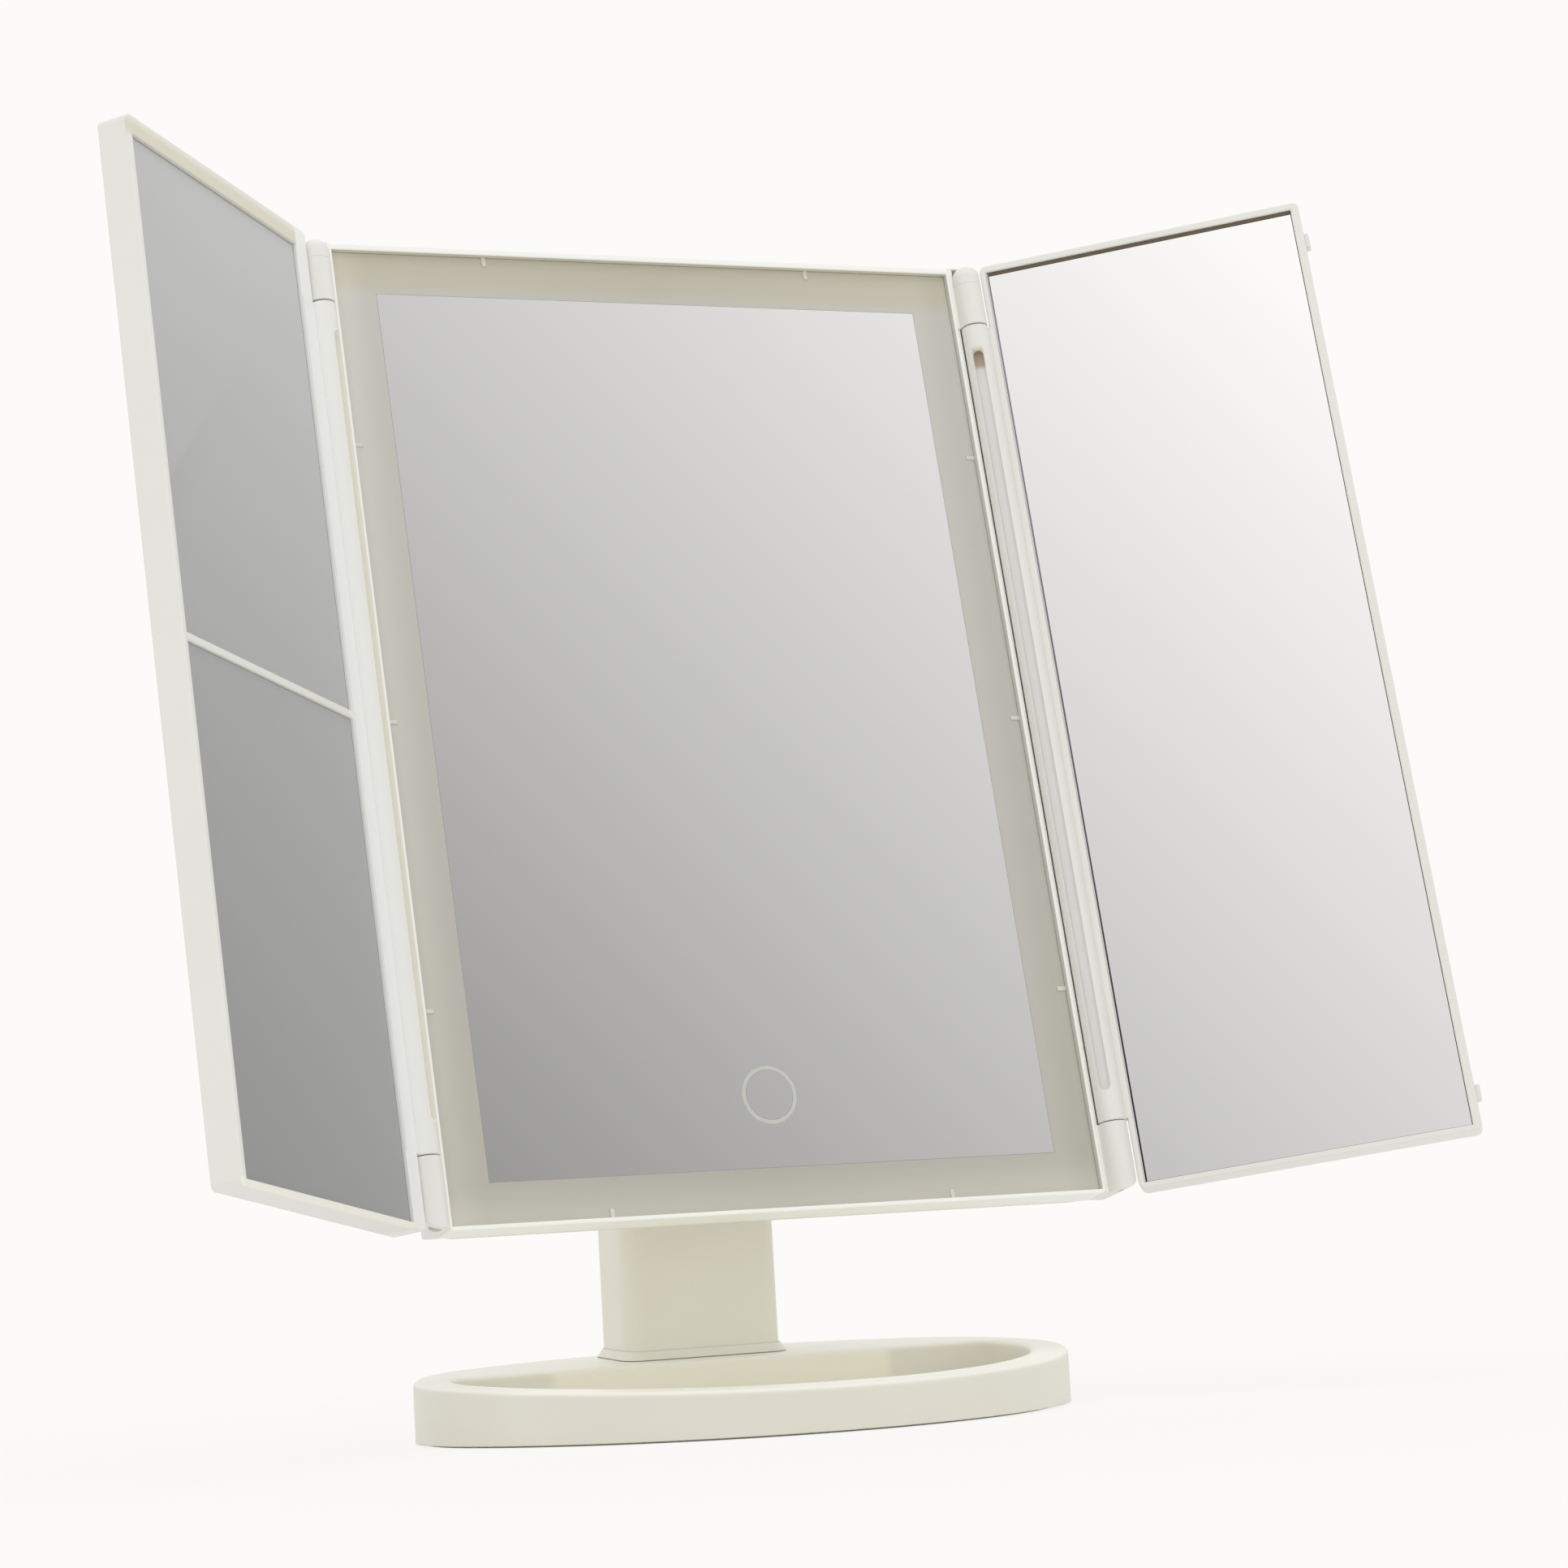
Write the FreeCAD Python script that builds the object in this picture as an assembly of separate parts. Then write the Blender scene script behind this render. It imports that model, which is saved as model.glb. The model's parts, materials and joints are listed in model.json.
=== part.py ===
"""Trifold vanity mirror with a lit border, on a tilting stand. Millimetres, +Z up, front towards -Y.

The origin is the middle of the base's footprint, on the surface that it stands on. The head leans back on
a tilt shaft, and its two wings fold forwards about hinges at its sides. Head pieces are drawn upright, in
the head's own frame: x right, y back from the lip's front plane, z up from the lip's lower inner edge.
Wing pieces are drawn in the wing's own frame: x outwards from the hinge axis, y back from that axis, z up.
"""

import FreeCAD
import Part
import math
import os

V = FreeCAD.Vector

# ---- attitude at rest, degrees
tilt_back = 12.3
left_fold = 43.7
right_fold = 33.9

# ---- base
base_width = 158.5
base_depth = 111.5
base_widest_y = 10.0
base_end_radius = 36.0
base_height = 13.7
base_slope = 0.05
base_wall = 2.2
base_wall_bottom = 0.5
rim_width = 8.9
rim_edge_radius = 1.5
neck_inset = 15.35
neck_y = base_depth / 2 - neck_inset
pocket_to_neck = 18.2
pocket_back_y = neck_y - pocket_to_neck
pocket_floor_z = 5.6
pocket_floor_thickness = 2.0
pocket_corner_radius = 5.0
pocket_floor_radius = 1.2
pad_thickness = 0.9
pad_inset = 0.3
bottom_plate_thickness = 2.0
plate_clearance = 0.2
plate_screw_front_angle = 32.0
plate_screw_back_angle = 40.0
plate_screw_inset = 5.2
weight_length = 22.0
weight_width = 14.0
weight_height = 6.0
weight_x = 43.0
weight_y = neck_y - 7.4

# ---- neck
neck_width = 39.8
neck_depth = 19.5
neck_corner_radius = 4.5
neck_wall = 2.2
neck_seat_z = 9.0
neck_seat_floor = 1.4
neck_seat_wall = 2.3
neck_floor = 4.0
collar_flare = 1.3
collar_lip = 0.25
collar_height = 2.0
collar_seam = 0.15
fit_clearance = 0.1
core_width = 22.0
core_thickness = 3.0
core_flange_length = 42.0
core_flange_width = 16.0
core_flange_thickness = 2.0
core_screw_x = 15.0
core_screw_y = 4.0

# ---- tilt hinge
pivot_z = 128.0
pivot_back = 41.0
pivot_up = 90.0
tilt_shaft_radius = 3.0
tilt_head_radius = 5.0
tilt_head_thickness = 2.0
tilt_nut_flats = 9.0
tilt_nut_thickness = 2.5
tilt_bush_radius = 5.0
tilt_bush_length = 9.0
washer_radius = 7.5
washer_thickness = 0.8
ear_gap = 0.3
ear_thickness = 5.0
ear_radius = 10.0
running_fit = 0.05
seat_fit = 0.02

# ---- head frame and mirror
lip_half_width = 81.1
lip_height = 234.0
lip_face = 1.0
lip_top_face = 1.5
lip_edge_radius = 0.32
frame_corner_radius = 1.3
frame_depth = 7.6
panel_recess = 1.7
panel_thickness = 2.0
panel_clearance = 0.1
panel_corner_radius = 0.5
ledge_width = 2.5
ledge_thickness = 1.4
side_border = 10.4
lower_border = 9.6
upper_border = 10.4
mirror_half_width = lip_half_width - side_border
mirror_bottom = lower_border
mirror_top = lip_height - upper_border
mirror_gap = 0.04
ring_z = 26.5
ring_radius = 6.85
ring_line = 1.0
ring_depth = 0.3
clip_width = 1.1
clip_reach = 2.3
clip_thickness = 0.2
clip_x = 42.5
clip_pitch = 68.0
tape_thickness = 0.5
tape_inset = 2.0
sensor_radius = 6.5
sensor_gap = 1.0

# ---- wing hinges
hinge_offset = 4.7
hinge_x = lip_half_width + hinge_offset
hinge_y = -1.2
knuckle_radius = 3.3
knuckle_bottom = 15.4
knuckle_top_inset = 15.2
knuckle_top = lip_height - knuckle_top_inset
knuckle_gap = 0.3
knuckle_edge_radius = 0.4
lug_back = frame_depth
lug_front = -0.2
lug_corner_radius = 4.5
cap_seam_inset = 4.0
cap_seam_z = lip_height - cap_seam_inset
cap_height = 5.1
cap_top_radius = 2.6
cap_spigot_radius = 1.6
cap_spigot_length = 2.0
pin_radius = 1.0
pin_recess_radius = 1.4
pin_bottom = 1.5
pin_end_gap = 0.3
hinge_bush_radius = 1.9
hinge_bush_length = 7.0
slot_width = 2.5
slot_depth = 1.8
slot_inset = 7.3
slot_bottom = knuckle_bottom + slot_inset
slot_top = knuckle_top - slot_inset
shield_gap = 0.3
shield_thickness = 2.0
shield_reach = 2.4
shield_top = 230.0
strip_front = 0.3
strip_slope = 36.0

# ---- wings
wing_front = -0.2
wing_depth = 7.6
wing_inner = 3.6
left_meeting_gap = 1.0
right_meeting_gap = 1.7
left_border = 1.9
right_border = 2.2
left_bottom = -1.6
right_bottom = -1.3
left_over_top = 2.2
right_over_top = 0.8
wing_corner_radius = 1.5
wing_lower_corner_radius = 1.7
wing_edge_radius = 0.4
left_mirror_inner = 9.0
right_mirror_inner = 5.6
wing_lower_border = 1.6
left_upper_border = 4.8
right_upper_border = 2.6
wing_mirror_recess = 1.0
right_inner_gap = 0.6
right_top_gap = 0.9
narrow_gap = 0.12
glass_thickness = 2.0
wing_back_panel = 1.6
wing_back_rim = 1.6
wing_back_radius = 1.0
divider_drop_from_middle = 2.1
divider_bottom = lip_height / 2 - divider_drop_from_middle
divider_width = 1.9
divider_drop = 0.3
nub_length = 3.6
nub_width = 3.0
nub_height = 1.2
nub_edge_radius = 0.5
nub_low_z = 7.8
nub_high_z = lip_height - 9.0

# ---- rear cover and what it carries
cover_inset = 0.4
cover_wall = 1.6
cover_back = 13.4
cover_edge_radius = 3.0
cover_corner_radius = 4.0
housing_half_width = 33.0
housing_bottom = 71.0
housing_top = 152.0
housing_back = 27.5
housing_corner_radius = 4.0
housing_edge_radius = 1.5
door_half_width = 24.6
door_bottom = 108.0
door_clearance = 0.2
door_corner_radius = 0.3
rail_width = 1.4
rail_bottom = 113.0
rail_top = 141.0
grip_count = 4
grip_pitch = 2.4
grip_half_length = 8.0
grip_half_width = 0.6
grip_depth = 0.5
cell_radius = 5.25
cell_length = 44.5
cell_pitch = 10.8
cell_count = 4
cell_bottom = 103.6
cell_nose = 1.2
cell_lift = 0.3
contact_thickness = 0.8
contact_half = 3.5
battery_tray_wall = 1.0
battery_tray_gap = 0.4
battery_tray_floor = 1.4
bracket_plate = 2.0
bracket_corner_radius = 2.0
bracket_half_width = 32.0
bracket_bottom = 76.0
bracket_top = 105.0
bracket_screw_x = 29.0
bracket_screw_inset = 3.5
bracket_boss_length = 7.0
switch_x = -48.0
switch_z = 38.0
switch_travel = 3.0
knob_length = 5.0
knob_width = 3.4
knob_proud = 1.4
knob_groove = 0.3
knob_groove_pitch = 1.5
knob_flange = 1.2
knob_flange_thickness = 0.8
slot_clearance = 0.3
switch_body_depth = 4.0
inlet_z = 38.0
inlet_width = 8.94
inlet_height = 3.26
inlet_shell = 0.3
inlet_seat = 0.2
inlet_recess = 2.0
recess_depth = 0.5
tongue_half_thickness = 0.35
tongue_margin = 1.1
board_half_width = 15.0
board_half_height = 14.0
board_thickness = 1.6
board_stand_off = 1.8
board_margin = 1.8
chip_half = 4.0
chip_height = 1.0
coil_radius = 2.5
coil_height = 2.0
component_offset = 8.0

# ---- light tray
tray_margin = 1.8
tray_floor_y = 9.0
tray_wall = 1.2
mirror_overlap = 4.3
strip_share = 0.47
strip_thickness = 1.0
diode_share = 0.47
diode_height = 0.8
diode_pitch = 15.0
post_radius = 3.0
post_inset = 10.0
post_rise = 6.4
wire_radius = 0.6
wire_hole_radius = 0.9
wire_clearance = 1.6
light_wire_rise = 4.0
light_wire_y = 6.5
battery_wires = ((18.0, 6.0, 8.0), (14.0, 9.0, 4.0))

# ---- screws
screw_head_radius = 2.2
screw_head_height = 1.2
screw_radius = 1.3
screw_hole_fit = 0.1
screw_length = 6.0

# ---- modelling limits
same_place = 0.001
round_end_relief = 0.001

PARTS = {}
X = V(1, 0, 0)
Y = V(0, 1, 0)
Z = V(0, 0, 1)


# ---------------------------------------------------------------- shapes
def box(x0, x1, y0, y1, z0, z1):
    """A block between two corners."""
    return Part.makeBox(x1 - x0, y1 - y0, z1 - z0, V(x0, y0, z0))


def rod(radius, length, base, direction=Z):
    """A cylinder from base along direction."""
    return Part.makeCylinder(radius, length, base, direction)


def tube(outer, inner, length, base, direction=Z):
    """A cylinder with a hole along its axis."""
    return rod(outer, length, base, direction).cut(rod(inner, length, base, direction))


def rounded_outline(x0, x1, z0, z1, radii, y):
    """A rounded rectangle in the plane at y. radii: low left, low right, high right, high left."""
    low_left, low_right, high_right, high_left = radii
    inset = 1 - math.sqrt(0.5)
    a, b, c, d = low_left, low_right, high_right, high_left
    edges = [
        Part.LineSegment(V(x0 + a, y, z0), V(x1 - b, y, z0)),
        Part.Arc(V(x1 - b, y, z0), V(x1 - b * inset, y, z0 + b * inset), V(x1, y, z0 + b)),
        Part.LineSegment(V(x1, y, z0 + b), V(x1, y, z1 - c)),
        Part.Arc(V(x1, y, z1 - c), V(x1 - c * inset, y, z1 - c * inset), V(x1 - c, y, z1)),
        Part.LineSegment(V(x1 - c, y, z1), V(x0 + d, y, z1)),
        Part.Arc(V(x0 + d, y, z1), V(x0 + d * inset, y, z1 - d * inset), V(x0, y, z1 - d)),
        Part.LineSegment(V(x0, y, z1 - d), V(x0, y, z0 + a)),
        Part.Arc(V(x0, y, z0 + a), V(x0 + a * inset, y, z0 + a * inset), V(x0 + a, y, z0)),
    ]
    return Part.Wire([edge.toShape() for edge in edges])


def plate(x0, x1, z0, z1, y0, y1, radii):
    """A rounded rectangle that is thick along y."""
    if not isinstance(radii, tuple):
        radii = (radii,) * 4
    wire = rounded_outline(x0, x1, z0, z1, radii, y0)
    return Part.Face(wire).extrude(V(0, y1 - y0, 0))


def upright_outline(half_x, half_y, radius, z):
    """A rounded rectangle in the horizontal plane at z, centred on the Z axis."""
    wire = rounded_outline(-half_x, half_x, -half_y, half_y, (radius,) * 4, -z)
    wire.rotate(V(0, 0, 0), X, -90)
    return wire


def upright(half_x, half_y, radius, z0, z1, y=0.0):
    """A rounded rectangle prism that stands along z, with its axis at x = 0 and the given y."""
    wire = upright_outline(half_x, half_y, radius, z0)
    wire.translate(V(0, y, 0))
    return Part.Face(wire).extrude(V(0, 0, z1 - z0))


def edges_where(shape, test):
    """The edges whose vertices and centre all pass the test."""
    found = []
    for edge in shape.Edges:
        points = [vertex.Point for vertex in edge.Vertexes] + [edge.CenterOfMass]
        if all(test(point) for point in points):
            found.append(edge)
    return found


def near(value, target):
    """Whether two lengths are the same, for finding edges."""
    return abs(value - target) < same_place


def group(shapes):
    """Several separate solids in one node."""
    return Part.makeCompound(shapes)


def mirrored(shape):
    """The left-hand copy of a right-hand shape."""
    return shape.mirror(V(0, 0, 0), X)


def screw(seat, direction, length=screw_length):
    """A pan head screw with a cross recess. Its shank runs from seat along direction."""
    body = rod(screw_head_radius, screw_head_height, V(0, 0, -screw_head_height))
    body = body.fuse(rod(screw_radius, length, V(0, 0, 0)))
    arm = screw_head_radius * 0.6
    half = screw_head_radius * 0.12
    top = -screw_head_height
    body = body.cut(box(-arm, arm, -half, half, top, top / 2))
    body = body.cut(box(-half, half, -arm, arm, top, top / 2))
    body.Placement = FreeCAD.Placement(seat, FreeCAD.Rotation(Z, direction))
    return body


def screw_hole(seat, direction, length=screw_length):
    """The pilot hole that a screw sits in."""
    return rod(screw_radius + seat_fit, length + seat_fit, seat, direction)


def wire_run(points):
    """An insulated wire with straight runs and round corners."""
    shape = None
    for start, end in zip(points, points[1:]):
        run = rod(wire_radius, (end - start).Length, start, end - start)
        shape = run if shape is None else shape.fuse(run)
    for point in points[1:-1]:
        shape = shape.fuse(Part.makeSphere(wire_radius, point))
    return shape


def keep(name, shape, placement=FreeCAD.Placement()):
    """Names a finished piece and puts its solids in their place."""
    solids = []
    for solid in shape.Solids:
        copy = solid.copy()
        copy.Placement = placement.multiply(copy.Placement)
        solids.append(copy)
    PARTS[name] = solids[0] if len(solids) == 1 else group(solids)


# ---------------------------------------------------------------- frames of reference
HEAD = FreeCAD.Placement(V(0, neck_y, pivot_z), FreeCAD.Rotation(X, -tilt_back))
HEAD = HEAD.multiply(FreeCAD.Placement(V(0, -pivot_back, -pivot_up), FreeCAD.Rotation()))


def wing_place(side, fold):
    """Where a wing drawn flat lies. side is -1 for left and 1 for right."""
    turn = FreeCAD.Rotation(Z, -side * fold)
    return HEAD.multiply(FreeCAD.Placement(V(side * hinge_x, hinge_y, 0), turn))


# ---------------------------------------------------------------- base
end_centre_x = base_width / 2 - base_end_radius
front_sagitta = base_depth / 2 + base_widest_y - base_end_radius
back_sagitta = base_depth / 2 - base_widest_y - base_end_radius


def arc_radius(sagitta):
    """Radius of the arc through both end centres that bulges by sagitta."""
    return (end_centre_x ** 2 + sagitta ** 2) / (2 * sagitta)


def outline_point(sign, offset, angle):
    """A point of the front (sign -1) or back (sign 1) arc, at an angle in degrees from the middle."""
    sagitta = front_sagitta if sign < 0 else back_sagitta
    radius = arc_radius(sagitta)
    full = radius + base_end_radius + offset
    turn = math.radians(angle)
    return V(full * math.sin(turn), base_widest_y + sign * (sagitta - radius + full * math.cos(turn)), 0)


def end_point(side, offset, angle):
    """A point of a round end, at an angle in degrees from the widest place towards the back."""
    reach = base_end_radius + offset
    turn = math.radians(angle)
    return V(side * (end_centre_x + reach * math.cos(turn)), base_widest_y + reach * math.sin(turn), 0)


def base_outline(offset, z):
    """The base's outline: front and back arcs joined by round ends. offset moves it outwards."""
    lift = V(0, 0, z)
    ends = []
    edges = []
    for sign, sagitta in ((-1, front_sagitta), (1, back_sagitta)):
        limit = math.degrees(math.asin(end_centre_x / arc_radius(sagitta)))
        left, middle, right = [outline_point(sign, offset, turn) + lift for turn in (-limit, 0, limit)]
        edges.append(Part.Arc(left, middle, right).toShape())
        ends.append((left, right))
    reach = end_centre_x + base_end_radius + offset
    for side in (0, 1):
        tip = V((2 * side - 1) * reach, base_widest_y, z)
        edges.append(Part.Arc(ends[0][side], tip, ends[1][side]).toShape())
    return Part.Wire(Part.__sortEdges__(edges))


def base_prism(offset, z0, z1):
    """The base's outline, offset and made solid between two heights."""
    return Part.Face(base_outline(offset, z0)).extrude(V(0, 0, z1 - z0))


def deck_z(y):
    """Height of the sloping deck at y."""
    return base_height + base_slope * (y - base_widest_y)


def under_deck(drop):
    """All the space under the deck's plane, lowered by drop."""
    reach = base_depth
    corners = [V(0, -reach, -reach), V(0, -reach, deck_z(-reach) - drop)]
    corners += [V(0, reach, deck_z(reach) - drop), V(0, reach, -reach), V(0, -reach, -reach)]
    face = Part.Face(Part.makePolygon([corner - X * base_width for corner in corners]))
    return face.extrude(X * (2 * base_width))


def pocket_prism(offset, z0, z1):
    """The storage pocket: the rim's inner outline, cut straight along its back edge."""
    inner = base_prism(-rim_width + offset, z0, z1)
    return inner.common(box(-base_width, base_width, -base_depth, pocket_back_y + offset, z0, z1))


base_top = deck_z(base_depth)
pad_inner = -base_wall - plate_clearance
plate_top = pad_thickness + bottom_plate_thickness
neck_half = (neck_width / 2, neck_depth / 2)
flange_bottom = neck_seat_z - neck_seat_floor - core_flange_thickness
plate_screws = [end_point(side, -plate_screw_inset, plate_screw_back_angle) for side in (-1, 1)]
plate_screws += [outline_point(-1, -plate_screw_inset, side * plate_screw_front_angle) for side in (-1, 1)]
core_screws = [V(sx * core_screw_x, neck_y + sy * core_screw_y, 0) for sx in (-1, 1) for sy in (-1, 1)]


def neck_prism(offset, z0, z1):
    """The neck's outline, offset and made solid between two heights."""
    radius = neck_corner_radius + offset
    return upright(neck_half[0] + offset, neck_half[1] + offset, radius, z0, z1, neck_y)


def make_pocket():
    """The cut for the storage pocket, with round corners and a soft floor edge."""
    pocket = pocket_prism(0, pocket_floor_z, base_top)
    corners = []
    for edge in edges_where(pocket, lambda p: near(p.y, pocket_back_y)):
        if abs(edge.tangentAt(edge.FirstParameter).z) > 0.9:
            corners.append(edge)
    pocket = pocket.makeFillet(pocket_corner_radius, corners)
    return pocket.makeFillet(pocket_floor_radius, edges_where(pocket, lambda p: near(p.z, pocket_floor_z)))


def make_tray_shell():
    """The base tray's outside: rim, sloping deck and pocket, before it is hollowed."""
    outer = base_prism(0, base_wall_bottom, base_top).common(under_deck(0))
    outer = outer.cut(make_pocket())
    rim = edges_where(outer, lambda p: near(p.z, deck_z(p.y)))
    return outer.makeFillet(rim_edge_radius, rim)


def make_base():
    """Tray, bottom plate, non-slip pad, weights and screws."""
    cavity = base_prism(-base_wall, 0, base_top).common(under_deck(base_wall))
    cavity = cavity.cut(pocket_prism(base_wall, pocket_floor_z - pocket_floor_thickness, base_top))
    seat_z = neck_seat_z - neck_seat_floor
    cavity = cavity.cut(neck_prism(neck_seat_wall, seat_z, base_top))
    tray = make_tray_shell().cut(cavity).cut(neck_prism(fit_clearance, neck_seat_z, base_top))
    tray = tray.cut(core_bar(fit_clearance, 0, base_top))
    for point in core_screws:
        tray = tray.cut(rod(screw_radius + screw_hole_fit, base_top, point))

    plate_shape = base_prism(pad_inner, pad_thickness, plate_top)
    pad = base_prism(pad_inner - pad_inset, 0, pad_thickness)
    screws = []
    for point in plate_screws:
        seat = point + Z * (pad_thickness + screw_head_height)
        boss = rod(2 * screw_radius, base_top, point + Z * plate_top)
        tray = tray.fuse(boss.common(under_deck(base_wall / 2))).cut(screw_hole(seat, Z))
        sink = rod(screw_head_radius + screw_hole_fit, screw_head_height, point + Z * pad_thickness)
        plate_shape = plate_shape.cut(sink).cut(rod(screw_radius + screw_hole_fit, plate_top, point))
        screws.append(screw(seat, Z))
    weights = []
    half_x = weight_length / 2
    half_y = weight_width / 2
    for x in (-weight_x, weight_x):
        weights.append(box(x - half_x, x + half_x, weight_y - half_y, weight_y + half_y, plate_top,
                           plate_top + weight_height))
    keep("base_tray", tray)
    keep("base_bottom_plate", plate_shape)
    keep("non_slip_pad", pad)
    keep("base_plate_screws", group(screws))
    keep("base_weights", group(weights))


# ---------------------------------------------------------------- neck
def core_bar(clearance, z0, z1):
    """The upright steel bar inside the neck."""
    half_x = core_width / 2 + clearance
    half_y = core_thickness / 2 + clearance
    return box(-half_x, half_x, neck_y - half_y, neck_y + half_y, z0, z1)


def make_neck():
    """Neck column, collar, steel core, its screws, and the tilt hinge's bushes and washers."""
    column = neck_prism(0, neck_seat_z, pivot_z)
    barrel_start = V(-neck_half[0], neck_y, pivot_z)
    column = column.fuse(rod(neck_half[1], neck_width, barrel_start, X)).removeSplitter()
    hollow_top = pivot_z - neck_half[1] - neck_wall / 2
    column = column.cut(neck_prism(-neck_wall, neck_seat_z + neck_floor, hollow_top))
    column = column.cut(rod(tilt_bush_radius, neck_width, barrel_start, X))
    column = column.cut(core_bar(fit_clearance, neck_seat_z, neck_seat_z + neck_floor))
    screws = []
    for point in core_screws:
        seat = point + Z * flange_bottom
        column = column.cut(screw_hole(seat, Z))
        screws.append(screw(seat, Z))
    keep("neck_column", column)
    keep("neck_screws", group(screws))

    flange = box(-core_flange_length / 2, core_flange_length / 2, neck_y - core_flange_width / 2,
                 neck_y + core_flange_width / 2, flange_bottom, flange_bottom + core_flange_thickness)
    core = flange.fuse(core_bar(0, flange_bottom, hollow_top - neck_wall))
    for point in core_screws:
        core = core.cut(rod(screw_radius + screw_hole_fit, base_top, point))
    keep("neck_core", core)

    rings = []
    for flare, z in ((collar_flare, 0), (collar_lip, collar_height)):
        rings.append(upright_outline(neck_half[0] + flare, neck_half[1] + flare, neck_corner_radius, z))
    collar = Part.makeLoft(rings, True, True)
    collar.rotate(V(0, 0, 0), X, math.degrees(math.atan(base_slope)))
    collar.translate(V(0, neck_y, deck_z(neck_y) + collar_seam))
    collar = collar.cut(neck_prism(fit_clearance, 0, 2 * base_top))
    keep("neck_collar", collar)

    bushes = []
    washers = []
    for side in (-1, 1):
        inner = side * (neck_half[0] - tilt_bush_length)
        bushes.append(tube(tilt_bush_radius - seat_fit, tilt_shaft_radius + running_fit, tilt_bush_length,
                           V(inner, neck_y, pivot_z), X * side))
        washers.append(tube(washer_radius, tilt_shaft_radius + running_fit, washer_thickness,
                            V(side * neck_half[0], neck_y, pivot_z), X * side))
    keep("tilt_bushes", group(bushes))
    keep("friction_washers", group(washers))


# ---------------------------------------------------------------- head frame
lip_outer = lip_half_width + lip_face
frame_bottom = -lip_face
frame_top = lip_height + lip_top_face
panel_back = panel_recess + panel_thickness
ledge_back = panel_back + ledge_thickness
tape_back = panel_back + tape_thickness
tray_half_width = lip_half_width - tray_margin
tray_low = tray_margin
tray_high = lip_height - tray_margin
plateau_half_width = mirror_half_width - mirror_overlap
plateau_bottom = mirror_bottom + mirror_overlap
plateau_top = mirror_top - mirror_overlap
plateau_hollow = plateau_half_width - tray_wall
strip_width = strip_share * (tray_half_width - tray_wall - plateau_half_width)
diode_size = diode_share * strip_width
inlet_x = plateau_hollow - board_half_width - board_margin
lower_lug_top = knuckle_bottom - knuckle_gap
upper_lug_bottom = knuckle_top + knuckle_gap
clip_heights = [lip_height / 2 + step * clip_pitch for step in (-1, 0, 1)]


def lug(z0, z1, round_top, block_top):
    """One right-hand hinge lug: a barrel and the block that joins it to the frame."""
    barrel = rod(knuckle_radius, round_top - z0, V(hinge_x, hinge_y, z0))
    block = box(lip_half_width + lip_face / 2, hinge_x, lug_front, lug_back, z0, block_top)
    return barrel.fuse(block)


def strip_edge(y):
    """Where the strip beside the right knuckle ends, on a line that clears the knuckle."""
    slope = math.radians(strip_slope)
    reach = knuckle_radius + shield_gap - (y - hinge_y) * math.sin(slope)
    return hinge_x - reach / math.cos(slope)


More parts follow.
